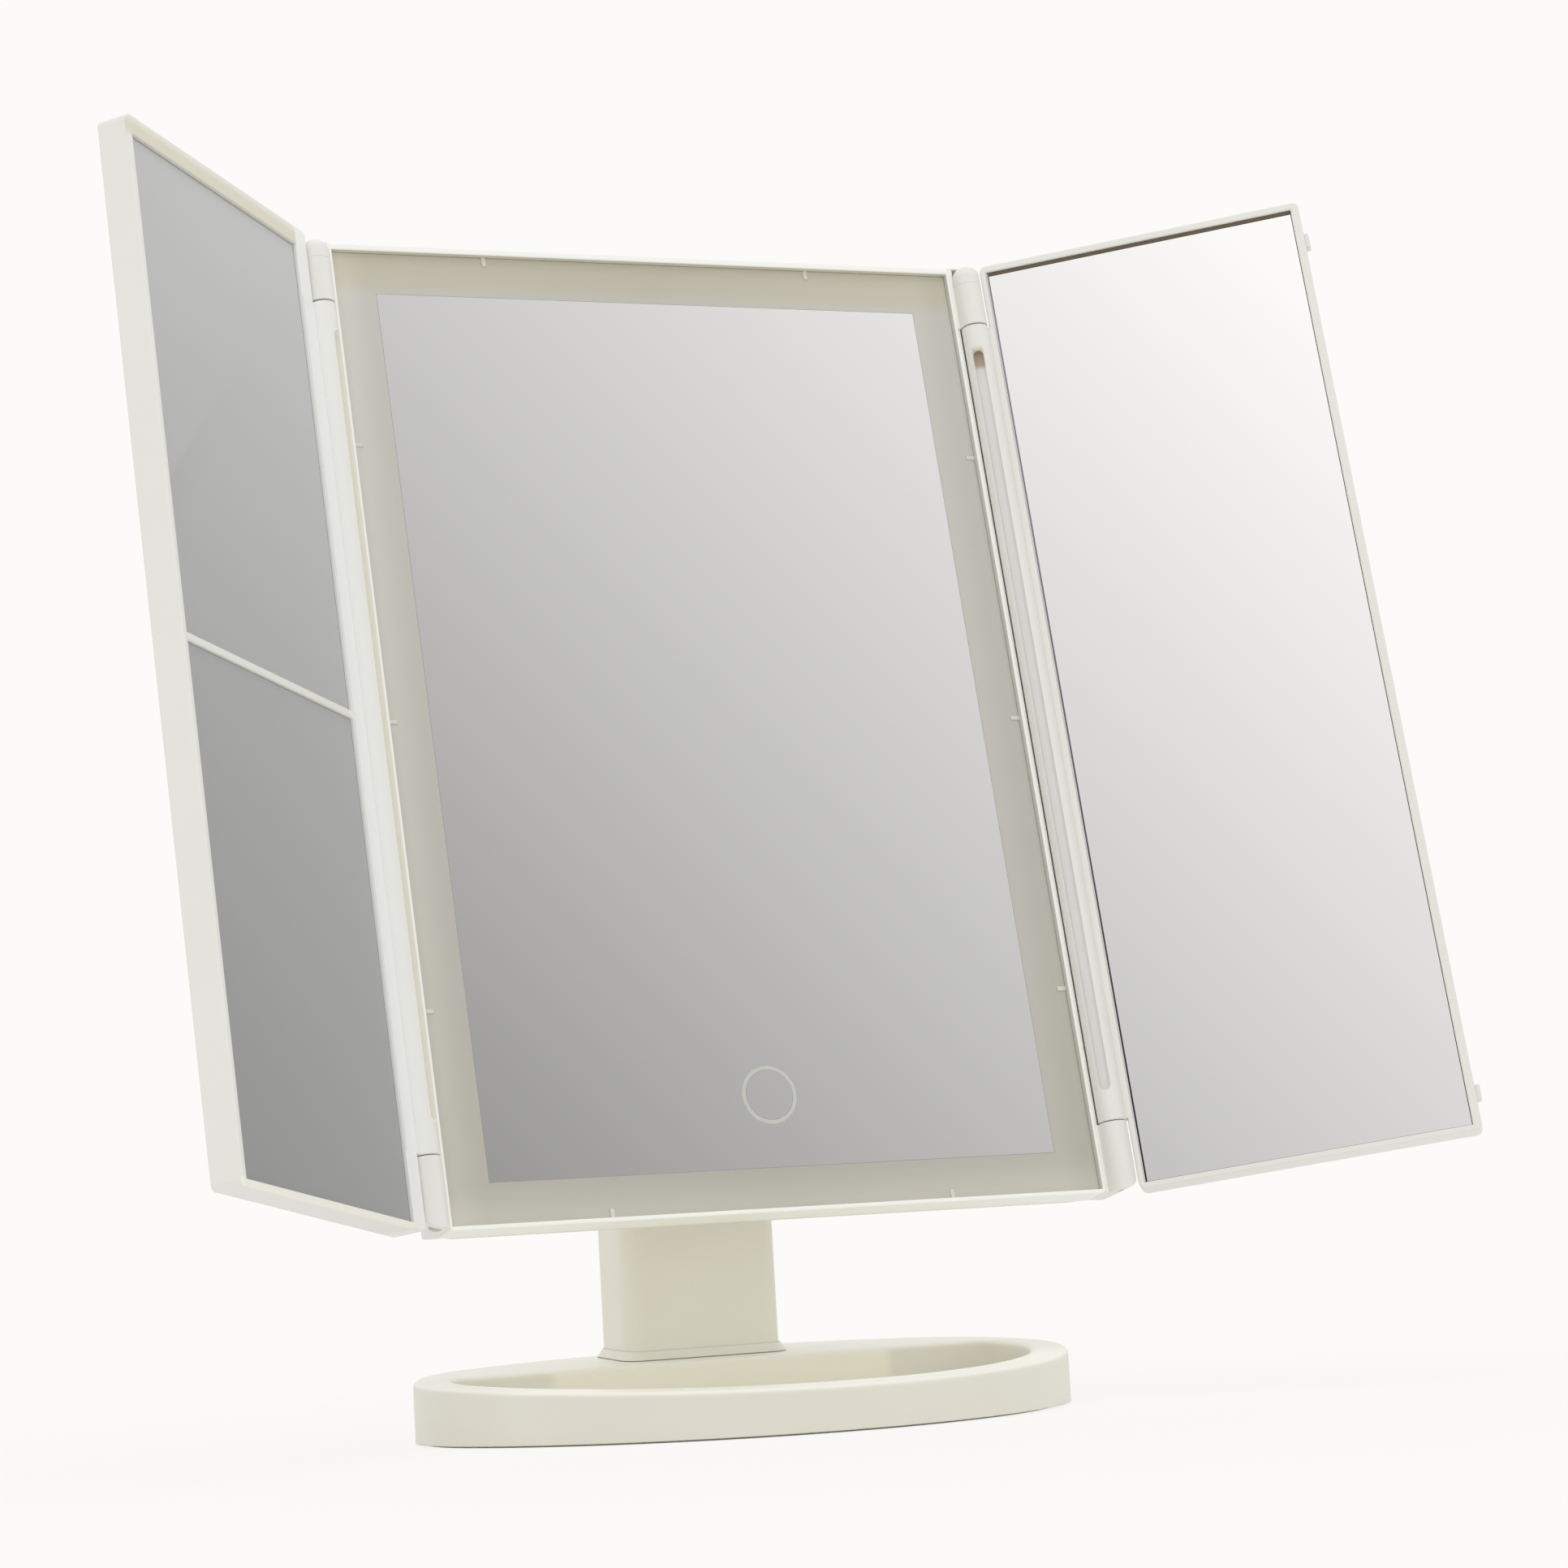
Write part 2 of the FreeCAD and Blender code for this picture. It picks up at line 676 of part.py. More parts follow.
def make_head_frame():
    """The thin-lipped frame, with its panel ledge and four hinge lugs."""
    outer = plate(-lip_outer, lip_outer, frame_bottom, frame_top, 0, frame_depth, frame_corner_radius)
    frame = outer.cut(box(-lip_half_width, lip_half_width, 0, panel_back, 0, lip_height))
    frame = frame.cut(box(-lip_half_width + ledge_width, lip_half_width - ledge_width, 0, frame_depth,
                          ledge_width, lip_height - ledge_width))
    frame = frame.cut(box(-lip_half_width, lip_half_width, ledge_back, frame_depth, 0, lip_height))
    frame = frame.makeFillet(lip_edge_radius, edges_where(frame, lambda p: near(p.y, 0)))

    reach = hinge_x + knuckle_radius
    radii = (lug_corner_radius, lug_corner_radius, frame_corner_radius, frame_corner_radius)
    limit = plate(-reach, reach, frame_bottom, frame_top, -frame_depth, frame_depth, radii)
    lower = lug(frame_bottom, lower_lug_top, lower_lug_top, lower_lug_top).common(limit)
    upper = lug(upper_lug_bottom, frame_top, cap_seam_z, frame_top)
    upper = upper.cut(rod(knuckle_radius + seat_fit, cap_height, V(hinge_x, hinge_y, cap_seam_z)))
    axis = V(hinge_x, hinge_y, 0)
    lower = lower.cut(rod(pin_radius + seat_fit, lower_lug_top - frame_bottom, axis + Z * frame_bottom))
    lower = lower.cut(rod(pin_recess_radius, pin_bottom - frame_bottom, axis + Z * frame_bottom))
    upper = upper.cut(rod(pin_radius + seat_fit, frame_top - upper_lug_bottom, axis + Z * upper_lug_bottom))
    spigot_bottom = cap_seam_z - cap_spigot_length
    upper = upper.cut(rod(cap_spigot_radius + seat_fit, cap_spigot_length, axis + Z * spigot_bottom))
    frame = frame.cut(rod(knuckle_radius + seat_fit, cap_height, axis + Z * cap_seam_z))
    frame = frame.cut(rod(knuckle_radius + seat_fit, cap_height, V(-hinge_x, hinge_y, cap_seam_z)))
    front = hinge_y + knuckle_radius + shield_gap
    shield = box(lip_half_width + lip_face / 2, hinge_x + shield_reach, front, front + shield_thickness,
                 lower_lug_top - same_place, shield_top)
    inside = front + shield_thickness / 2
    corners = [(lip_half_width + lip_face / 2, strip_front), (strip_edge(strip_front), strip_front),
               (strip_edge(inside), inside), (lip_half_width + lip_face / 2, inside)]
    outline = [V(x, y, lower_lug_top - same_place) for x, y in corners + corners[:1]]
    length = upper_lug_bottom - lower_lug_top + 2 * same_place
    strip = Part.Face(Part.makePolygon(outline)).extrude(Z * length)
    for piece in (lower, upper, shield, strip):
        frame = frame.fuse(piece).fuse(mirrored(piece))
    keep("head_frame", frame, HEAD)

    cap = rod(knuckle_radius, cap_height, axis + Z * cap_seam_z)
    top = cap_seam_z + cap_height
    cap = cap.makeFillet(cap_top_radius, edges_where(cap, lambda p: near(p.z, top) and p.x > hinge_x - 0.1))
    cap = cap.fuse(rod(cap_spigot_radius, cap_spigot_length, axis + Z * spigot_bottom))
    keep("hinge_caps", group([cap, mirrored(cap)]), HEAD)
    lower_end = knuckle_bottom + hinge_bush_length - pin_end_gap
    lower_pin = rod(pin_radius, lower_end - pin_bottom, axis + Z * pin_bottom)
    upper_start = knuckle_top - hinge_bush_length + pin_end_gap
    upper_pin = rod(pin_radius, spigot_bottom - upper_start, axis + Z * upper_start)
    keep("lower_hinge_pins", group([lower_pin, mirrored(lower_pin)]), HEAD)
    keep("upper_hinge_pins", group([upper_pin, mirrored(upper_pin)]), HEAD)


# ---------------------------------------------------------------- what the head frame shows
def make_mirror():
    """Frosted panel, its clips, the centre mirror and its touch ring, tape and sensor."""
    edge = lip_half_width - panel_clearance
    panel = plate(-edge, edge, panel_clearance, lip_height - panel_clearance, panel_recess, panel_back,
                  panel_corner_radius)
    window = mirror_half_width + mirror_gap
    panel = panel.cut(box(-window, window, 0, frame_depth, mirror_bottom - mirror_gap,
                          mirror_top + mirror_gap))
    keep("diffuser_panel", panel, HEAD)

    glass = box(-mirror_half_width, mirror_half_width, panel_recess, panel_back, mirror_bottom, mirror_top)
    centre = V(0, panel_recess, ring_z)
    groove = tube(ring_radius + mirror_gap, ring_radius - ring_line - mirror_gap, ring_depth, centre, Y)
    keep("centre_mirror", glass.cut(groove), HEAD)
    keep("touch_ring", tube(ring_radius, ring_radius - ring_line, ring_depth, centre, Y), HEAD)

    behind = V(0, panel_back, ring_z)
    tape_edge = plateau_half_width - tape_inset
    tape = box(-tape_edge, tape_edge, panel_back, tape_back, plateau_bottom + tape_inset,
               plateau_top - tape_inset)
    tape = tape.cut(rod(sensor_radius + sensor_gap, tape_thickness, behind, Y))
    keep("mirror_tape", tape, HEAD)
    keep("touch_sensor", rod(sensor_radius, tape_thickness, behind, Y), HEAD)

    front = panel_recess - clip_thickness
    half = clip_width / 2
    clips = []
    for side in (-1, 1):
        x = side * clip_x
        clips.append(box(x - half, x + half, front, panel_recess, 0, clip_reach))
        clips.append(box(x - half, x + half, front, panel_recess, lip_height - clip_reach, lip_height))
        inner, outer = sorted((side * (lip_half_width - clip_reach), side * lip_half_width))
        for z in clip_heights:
            clips.append(box(inner, outer, front, panel_recess, z - half, z + half))
    keep("panel_clips", group(clips), HEAD)


# ---------------------------------------------------------------- lighting inside the head
def make_lighting():
    """Light tray, light strips and diodes."""
    floor_back = tray_floor_y + tray_wall
    edge = tray_half_width
    low = tray_low
    high = tray_high
    tray = box(-edge, edge, ledge_back, floor_back, low, high)
    inner = edge - tray_wall
    tray = tray.cut(box(-inner, inner, ledge_back, tray_floor_y, low + tray_wall, high - tray_wall))
    tray = tray.fuse(box(-plateau_half_width, plateau_half_width, tape_back, floor_back, plateau_bottom,
                         plateau_top))
    hollow = plateau_hollow
    tray = tray.cut(box(-hollow, hollow, tape_back + tray_wall, floor_back, plateau_bottom + tray_wall,
                        plateau_top - tray_wall))
    inside_wall = cover_back - cover_wall
    for place in cover_posts():
        start = V(place.x, tape_back, place.z)
        tray = tray.fuse(rod(post_radius, inside_wall - tape_back, start, Y))
        tray = tray.cut(screw_hole(V(place.x, cover_back - screw_head_height, place.z), Y * -1))
    tray = tray.cut(rod(wire_hole_radius, tray_wall, V(0, tape_back, ring_z), Y))
    wire_exit = V(hollow - tray_wall / 2, light_wire_y, light_wire_z)
    tray = tray.cut(rod(wire_hole_radius, 2 * tray_wall, wire_exit, X))
    keep("light_tray", tray, HEAD)

    strip_front = tray_floor_y - strip_thickness
    across = (plateau_half_width + tray_half_width - tray_wall) / 2
    low_mid = (plateau_bottom + low + tray_wall) / 2
    high_mid = (plateau_top + high - tray_wall) / 2
    half = strip_width / 2
    strips = []
    diodes = []
    side_rows = int((high_mid - low_mid - 2 * strip_width) / diode_pitch)
    end_rows = int((2 * across - 2 * strip_width) / diode_pitch)
    middle = (low_mid + high_mid) / 2
    for side in (-1, 1):
        x = side * across
        strips.append(box(x - half, x + half, strip_front, tray_floor_y, low_mid + strip_width,
                          high_mid - strip_width))
        for row in range(side_rows + 1):
            diodes.append(diode(x, middle + (row - side_rows / 2) * diode_pitch, strip_front))
    for z in (low_mid, high_mid):
        strips.append(box(-across + half, across - half, strip_front, tray_floor_y, z - half, z + half))
        for row in range(end_rows + 1):
            diodes.append(diode((row - end_rows / 2) * diode_pitch, z, strip_front))
    keep("light_strips", group(strips), HEAD)
    keep("light_diodes", group(diodes), HEAD)


def diode(x, z, back):
    """One light diode on a strip."""
    half = diode_size / 2
    return box(x - half, x + half, back - diode_height, back, z - half, z + half)


def cover_posts():
    """The centres of the screw posts that hold the rear cover."""
    x = plateau_half_width - post_inset
    heights = (plateau_bottom + post_rise, (plateau_bottom + plateau_top) / 2, plateau_top - post_rise)
    return [V(side * x, 0, z) for z in heights for side in (-1, 1)]


# ---------------------------------------------------------------- rear cover
light_wire_z = inlet_z + light_wire_rise
housing_inner = housing_half_width - cover_wall
board_back = cover_back - cover_wall - board_stand_off
board_front = board_back - board_thickness
wall_front = cover_back - cover_wall
housing_wall_front = housing_back - cover_wall
bracket_screws = [V(side * bracket_screw_x, housing_back + bracket_plate, z) for side in (-1, 1)
                  for z in (bracket_bottom + bracket_screw_inset, bracket_top - bracket_screw_inset)]
peg_radius = 1.2
switch_body_half = (knob_length + switch_travel) / 2 + knob_flange + slot_clearance + 2 * peg_radius
board_screw_inset = 2.5


def board_corners():
    """The four places where the control board sits on its posts."""
    dx = board_half_width - board_screw_inset
    dz = board_half_height - board_screw_inset
    return [V(inlet_x + sx * dx, 0, inlet_z + sz * dz) for sx in (-1, 1) for sz in (-1, 1)]


def stadium(half_length, half_width, x, z, y0, y1):
    """A long hole or peg with round ends, thick along y."""
    radius = half_width - round_end_relief
    return plate(x - half_length, x + half_length, z - half_width, z + half_width, y0, y1, radius)


def make_rear_cover():
    """The rear cover with its battery housing, and its screws."""
    edge = lip_outer - cover_inset
    low = frame_bottom + cover_inset
    high = frame_top - cover_inset
    cover = plate(-edge, edge, low, high, frame_depth, cover_back, cover_corner_radius)
    cover = cover.makeFillet(cover_edge_radius, edges_where(cover, lambda p: near(p.y, cover_back)))
    housing = plate(-housing_half_width, housing_half_width, housing_bottom, housing_top, wall_front,
                    housing_back, housing_corner_radius)
    housing = housing.makeFillet(housing_edge_radius, edges_where(housing, lambda p: near(p.y, housing_back)))
    cover = cover.fuse(housing)
    wall = cover_wall
    cover = cover.cut(plate(-edge + wall, edge - wall, low + wall, high - wall, frame_depth, wall_front,
                            cover_corner_radius - wall))
    cover = cover.cut(plate(-housing_inner, housing_inner, housing_bottom + wall, housing_top - wall,
                            frame_depth, housing_wall_front, housing_corner_radius - wall))
    doorway = door_half_width + door_clearance
    cover = cover.cut(box(-doorway, doorway, housing_wall_front - door_clearance, housing_back,
                          door_bottom - door_clearance, housing_top))
    for place in bracket_screws:
        boss_start = V(place.x, housing_wall_front - bracket_boss_length, place.z)
        cover = cover.fuse(rod(screw_head_radius, bracket_boss_length, boss_start, Y))
        cover = cover.cut(screw_hole(place, Y * -1, 2 * screw_length))

    slot_half = (knob_length + switch_travel) / 2 + slot_clearance
    slot_x = switch_x + switch_travel / 2
    slot_height = knob_width / 2 + slot_clearance
    recess_front = cover_back - recess_depth
    cover = cover.cut(stadium(slot_half + inlet_recess, knob_width, slot_x, switch_z, recess_front, cover_back))
    cover = cover.cut(box(slot_x - slot_half, slot_x + slot_half, wall_front, cover_back,
                          switch_z - slot_height, switch_z + slot_height))
    for margin, front in ((door_clearance, wall_front), (inlet_recess, recess_front)):
        cover = cover.cut(stadium(inlet_width / 2 + margin, inlet_height / 2 + margin, inlet_x, inlet_z, front,
                                  cover_back))
    for side in (-1, 1):
        peg = V(slot_x + side * (switch_body_half - peg_radius), wall_front - knob_gap, switch_z)
        cover = cover.fuse(rod(peg_radius, knob_gap, peg, Y))
    for corner in board_corners():
        cover = cover.fuse(rod(peg_radius, board_stand_off, V(corner.x, board_back, corner.z), Y))
    screws = []
    for place in cover_posts():
        seat = V(place.x, cover_back - screw_head_height, place.z)
        cover = cover.cut(rod(screw_head_radius + screw_hole_fit, screw_head_height, seat, Y))
        cover = cover.cut(rod(screw_radius + screw_hole_fit, cover_wall, seat, Y * -1))
        screws.append(screw(seat, Y * -1))
    keep("rear_cover", cover, HEAD)
    keep("rear_cover_screws", group(screws), HEAD)


knob_gap = 2 * slot_clearance + knob_flange_thickness


def make_switch_and_board():
    """The slide switch, its body, the control board, the power inlet and the wires."""
    front = wall_front - slot_clearance - knob_flange_thickness
    half_x = knob_length / 2
    half_z = knob_width / 2
    tip = cover_back + knob_proud
    low = switch_z - half_z
    high = switch_z + half_z
    knob = box(switch_x - half_x, switch_x + half_x, front, tip, low, high)
    for step in (-1, 0, 1):
        x = switch_x + step * knob_groove_pitch
        knob = knob.cut(box(x - knob_groove, x + knob_groove, tip - knob_groove, tip, low, high))
    flange = box(switch_x - half_x - knob_flange, switch_x + half_x + knob_flange, front,
                 front + knob_flange_thickness, low - knob_flange, high + knob_flange)
    keep("power_switch", knob.fuse(flange), HEAD)
    slot_x = switch_x + switch_travel / 2
    body_back = wall_front - knob_gap
    body = box(slot_x - switch_body_half, slot_x + switch_body_half, body_back - switch_body_depth, body_back,
               switch_z - knob_width, switch_z + knob_width)
    keep("switch_body", body, HEAD)

    board = box(inlet_x - board_half_width, inlet_x + board_half_width, board_front, board_back,
                inlet_z - board_half_height, inlet_z + board_half_height)
    chip_z = inlet_z + component_offset
    chip = box(inlet_x - chip_half, inlet_x + chip_half, board_front - chip_height, board_front,
               chip_z - chip_half, chip_z + chip_half)
    coil_place = V(inlet_x + component_offset, board_front - coil_height, inlet_z - component_offset)
    coil = rod(coil_radius, coil_height, coil_place, Y)
    keep("control_board", board.fuse(chip).fuse(coil), HEAD)

    half_width = inlet_width / 2
    half_height = inlet_height / 2
    inlet_back = cover_back - inlet_seat
    inlet = stadium(half_width, half_height, inlet_x, inlet_z, board_back, inlet_back)
    floor = board_back + 2 * inlet_shell
    inlet = inlet.cut(stadium(half_width - inlet_shell, half_height - inlet_shell, inlet_x, inlet_z, floor,
                              inlet_back))
    tongue_half = half_width - tongue_margin
    inlet = inlet.fuse(box(inlet_x - tongue_half, inlet_x + tongue_half, floor, inlet_back - recess_depth,
                           inlet_z - tongue_half_thickness, inlet_z + tongue_half_thickness))
    keep("power_inlet", inlet, HEAD)

    level = (board_front + board_back) / 2
    left_edge = inlet_x - board_half_width
    top_edge = inlet_z + board_half_height
    tray_front = battery_floor_front
    wires = []
    start_z = cell_bottom + cell_radius
    for x, drop, inset in battery_wires:
        end_x = inlet_x - inset
        wires.append(wire_run([V(x, tray_front, start_z), V(x, light_wire_y, start_z),
                               V(x, light_wire_y, top_edge + drop), V(end_x, light_wire_y, top_edge + drop),
                               V(end_x, level, top_edge + drop), V(end_x, level, top_edge)]))
    wires.append(wire_run([V(slot_x + switch_body_half, level, switch_z), V(left_edge, level, switch_z)]))
    wires.append(wire_run([V(0, tape_back, ring_z), V(0, level, ring_z), V(left_edge, level, ring_z)]))
    wire_x = inlet_x + board_half_width - wire_clearance
    strip_x = (plateau_half_width + tray_half_width - tray_wall) / 2 - diode_size / 2 - wire_clearance / 2
    wires.append(wire_run([V(wire_x, board_front, light_wire_z), V(wire_x, light_wire_y, light_wire_z),
                           V(strip_x, light_wire_y, light_wire_z),
                           V(strip_x, tray_floor_y - strip_thickness, light_wire_z)]))
    keep("wires", group(wires), HEAD)


# ---------------------------------------------------------------- batteries
battery_floor_front = wall_front + battery_tray_gap
cell_y = battery_floor_front + battery_tray_floor + cell_radius + cell_lift
cell_top = cell_bottom + cell_length


def make_batteries():
    """Battery tray, cells, contacts and the sliding door."""
    wall = battery_tray_wall
    half = cell_pitch * cell_count / 2
    low = cell_bottom - contact_thickness - wall
    high = cell_top + contact_thickness + wall
    floor_back = battery_floor_front + battery_tray_floor
    top = cell_y + cell_radius / 2
    edge = housing_inner - fit_clearance
    corner = housing_corner_radius - cover_wall
    tray = plate(-edge, edge, low, high, battery_floor_front, floor_back, corner)
    tray = tray.fuse(box(-half - wall, half + wall, battery_floor_front, top, low, high))
    tray = tray.cut(box(-half, half, floor_back, top, low + wall, high - wall))
    keep("battery_tray", tray, HEAD)
    cells = []
    contacts = []
    for index in range(cell_count):
        x = (index - (cell_count - 1) / 2) * cell_pitch
        turned = index % 2
        start = cell_bottom + (0 if turned else cell_nose)
        cell = rod(cell_radius, cell_length - cell_nose, V(x, cell_y, start))
        tip_z = cell_top - cell_nose if turned else cell_bottom
        cells.append(cell.fuse(rod(cell_radius / 2, cell_nose, V(x, cell_y, tip_z))))
        for z in (low + wall, cell_top):
            contacts.append(box(x - contact_half, x + contact_half, cell_y - cell_radius / 2, top, z,
                                z + contact_thickness))
    keep("battery_cells", group(cells), HEAD)
    keep("battery_contacts", group(contacts), HEAD)

    door = plate(-door_half_width, door_half_width, door_bottom, housing_top, housing_wall_front,
                 housing_back, door_corner_radius)
    top_edge = edges_where(door, lambda p: near(p.z, housing_top) and near(p.y, housing_back))
    door = door.makeFillet(housing_edge_radius, top_edge)
    for step in range(grip_count):
        z = (door_bottom + housing_top) / 2 + (step - (grip_count - 1) / 2) * grip_pitch
        door = door.cut(stadium(grip_half_length, grip_half_width, 0, z, housing_back - grip_depth,
                                housing_back))
    for side in (-1, 1):
        inner, outer = sorted((side * (door_half_width - rail_width), side * (door_half_width + rail_width)))
        rail_back = housing_wall_front - door_clearance
        door = door.fuse(box(inner, outer, rail_back - rail_width, rail_back, rail_bottom, rail_top))
        inner, outer = sorted((side * (door_half_width - rail_width), side * door_half_width))
        door = door.fuse(box(inner, outer, rail_back, housing_wall_front, rail_bottom, rail_top))
    keep("battery_door", door, HEAD)


# ---------------------------------------------------------------- tilt bracket
def make_bracket():
    """The clevis on the battery housing, its screws, and the tilt shaft and nut."""
    plate_back = housing_back + bracket_plate
    bracket = plate(-bracket_half_width, bracket_half_width, bracket_bottom, bracket_top, housing_back,
                    plate_back, bracket_corner_radius)
    ear_inner = neck_half[0] + washer_thickness + ear_gap
    ear_outer = ear_inner + ear_thickness
    for side in (-1, 1):
        low, high = sorted((side * ear_inner, side * ear_outer))
        bracket = bracket.fuse(box(low, high, housing_back, pivot_back, pivot_up - ear_radius,
                                   pivot_up + ear_radius))
        bracket = bracket.fuse(rod(ear_radius, ear_thickness, V(low, pivot_back, pivot_up), X))
    start = V(-ear_outer, pivot_back, pivot_up)
    end = V(ear_outer, pivot_back, pivot_up)
    bracket = bracket.cut(rod(tilt_shaft_radius + seat_fit, 2 * ear_outer, start, X))
    screws = []
    for place in bracket_screws:
        bracket = bracket.cut(rod(screw_radius + screw_hole_fit, bracket_plate, place, Y * -1))
        screws.append(screw(place, Y * -1))
    keep("tilt_bracket", bracket, HEAD)
    keep("bracket_screws", group(screws), HEAD)
    shaft = rod(tilt_shaft_radius, 2 * ear_outer + tilt_nut_thickness, start, X)
    shaft = shaft.fuse(rod(tilt_head_radius, tilt_head_thickness, start, X * -1))
    keep("tilt_shaft", shaft, HEAD)
    corner = tilt_nut_flats / math.sqrt(3)
    points = []
    for step in range(7):
        turn = math.radians(60 * step)
        points.append(V(ear_outer, pivot_back + corner * math.cos(turn), pivot_up + corner * math.sin(turn)))
    nut = Part.Face(Part.makePolygon(points)).extrude(X * tilt_nut_thickness)
    nut = nut.cut(rod(tilt_shaft_radius + seat_fit, tilt_nut_thickness, end, X))
    keep("tilt_nut", nut, HEAD)


# ---------------------------------------------------------------- wings
wing_face = -wing_front
wing_back = wing_face + wing_depth
glass_front = wing_face + wing_mirror_recess
glass_back = glass_front + glass_thickness
wing_floor = glass_back + tape_thickness
divider_top = divider_bottom + divider_width


class Outline:
    """Where a wing, its mirror and its mirror pocket end: across from the hinge axis, and in height."""

    def __init__(self, meeting_gap, bottom, over_top):
        self.outer = hinge_x - meeting_gap
        self.bottom = bottom
        self.top = lip_height + over_top

    def add_mirror(self, inner, outer_border, upper_border, inner_gap, top_gap):
        """Set the mirror inside its borders, and the pocket round it."""
        self.mirror_inner = inner
        self.mirror_outer = self.outer - outer_border
        self.mirror_bottom = self.bottom + wing_lower_border
        self.mirror_top = self.top - upper_border
        self.pocket_inner = inner - inner_gap
        self.pocket_outer = self.mirror_outer + narrow_gap
        self.pocket_bottom = self.mirror_bottom - narrow_gap
        self.pocket_top = self.mirror_top + top_gap


LEFT = Outline(left_meeting_gap, left_bottom, left_over_top)
LEFT.add_mirror(left_mirror_inner, left_border, left_upper_border, narrow_gap, narrow_gap)
RIGHT = Outline(right_meeting_gap, right_bottom, right_over_top)
RIGHT.add_mirror(right_mirror_inner, right_border, right_upper_border, right_inner_gap, right_top_gap)


def wing_shell(wing):
    """A right-hand wing frame with its mirror pocket, back recess and hinge knuckle."""
    radii = (wing_lower_corner_radius, wing_corner_radius, wing_corner_radius, wing_corner_radius)
    shell = plate(wing_inner, wing.outer, wing.bottom, wing.top, wing_face, wing_back, radii)
    shell = shell.cut(box(wing.pocket_inner, wing.pocket_outer, wing_face, wing_floor,
                          wing.pocket_bottom, wing.pocket_top))
    shell = shell.cut(back_plate(wing, 0))
    shell = shell.makeFillet(wing_edge_radius, edges_where(shell, lambda p: near(p.y, wing_face)))
    outside = edges_where(shell, lambda p: near(p.y, wing_back) and not inside_back(wing, p))
    shell = shell.makeFillet(wing_edge_radius, outside)

    length = knuckle_top - knuckle_bottom
    barrel = rod(knuckle_radius, length, V(0, 0, knuckle_bottom))
    rims = edges_where(barrel, lambda p: near(p.z, knuckle_bottom) or near(p.z, knuckle_top))
    barrel = barrel.makeFillet(knuckle_edge_radius, rims)
    web = box(0, wing.pocket_inner - narrow_gap, wing_face, knuckle_radius, knuckle_bottom + knuckle_edge_radius,
              knuckle_top - knuckle_edge_radius)
    shell = shell.fuse(web).fuse(barrel)
    half = slot_width / 2
    slot = plate(-half, half, slot_bottom, slot_top, -knuckle_radius, slot_depth - knuckle_radius,
                 half - round_end_relief)
    shell = shell.cut(slot)
    for z in (knuckle_bottom, knuckle_top - hinge_bush_length):
        shell = shell.cut(rod(hinge_bush_radius, hinge_bush_length, V(0, 0, z)))
    return shell


def back_plate(wing, clearance):
    """The back panel of a wing, smaller than its recess by the clearance."""
    rim = wing_back_rim + clearance
    return plate(wing_inner + rim, wing.outer - rim, wing.bottom + rim, wing.top - rim,
                 wing_back - wing_back_panel, wing_back, wing_back_radius)


def inside_back(wing, point):
    """Whether a point of the wing's back lies on the recess for the back panel."""
    half = wing_back_rim / 2
    wide = wing_inner + half < point.x < wing.outer - half
    return wide and wing.bottom + half < point.z < wing.top - half


def wing_glass(wing, low, high):
    """One wing mirror between two heights, and the tape behind it."""
    glass = box(wing.mirror_inner, wing.mirror_outer, glass_front, glass_back, low, high)
    tape = box(wing.mirror_inner + tape_inset, wing.mirror_outer - tape_inset, glass_back, wing_floor,
               low + tape_inset, high - tape_inset)
    return glass, tape


def hinge_bushes():
    """The two bushes in a wing's knuckle."""
    bushes = []
    for z in (knuckle_bottom, knuckle_top - hinge_bush_length):
        bush = tube(hinge_bush_radius - seat_fit, pin_radius + running_fit, hinge_bush_length, V(0, 0, z))
        bushes.append(bush)
    return group(bushes)


def make_right_wing():
    """The right wing: one large mirror, and two closing nubs on its outer side."""
    place = wing_place(1, right_fold)
    keep("right_wing_frame", wing_shell(RIGHT), place)
    keep("right_wing_back", back_plate(RIGHT, panel_clearance), place)
    glass, tape = wing_glass(RIGHT, RIGHT.mirror_bottom, RIGHT.mirror_top)
    keep("right_mirror", glass, place)
    keep("right_mirror_tape", tape, place)
    keep("right_hinge_bushes", hinge_bushes(), place)
    middle = (wing_face + wing_back) / 2
    nubs = []
    for z in (nub_low_z, nub_high_z):
        nub = box(RIGHT.outer, RIGHT.outer + nub_height, middle - nub_width / 2, middle + nub_width / 2,
                  z - nub_length / 2, z + nub_length / 2)
        nub = nub.makeFillet(nub_edge_radius, edges_where(nub, lambda p: near(p.x, RIGHT.outer + nub_height)))
        nubs.append(nub)
    keep("closing_nubs", group(nubs), place)


def make_left_wing():
    """The left wing: two mirrors with a divider bar between them."""
    place = wing_place(-1, left_fold)
    shell = wing_shell(LEFT)
    divider = box(LEFT.pocket_inner - narrow_gap, LEFT.pocket_outer + narrow_gap, wing_face + divider_drop,
                  wing_floor, divider_bottom, divider_top)
    front = wing_face + divider_drop
    long_edges = [edge for edge in edges_where(divider, lambda p: near(p.y, front))
                  if edge.Length > 2 * divider_width]
    divider = divider.makeFillet(wing_edge_radius, long_edges)
    keep("left_wing_frame", mirrored(shell.fuse(divider)), place)
    keep("left_wing_back", mirrored(back_plate(LEFT, panel_clearance)), place)
    upper, upper_tape = wing_glass(LEFT, divider_top + narrow_gap, LEFT.mirror_top)
    lower, lower_tape = wing_glass(LEFT, LEFT.mirror_bottom, divider_bottom - narrow_gap)
    keep("left_upper_mirror", mirrored(upper), place)
    keep("left_lower_mirror", mirrored(lower), place)
    keep("left_mirror_tape", mirrored(group([upper_tape, lower_tape])), place)
    keep("left_hinge_bushes", mirrored(hinge_bushes()), place)


make_base()
make_neck()
make_head_frame()
make_mirror()
make_lighting()
make_rear_cover()
make_switch_and_board()
make_batteries()
make_bracket()
make_left_wing()
make_right_wing()

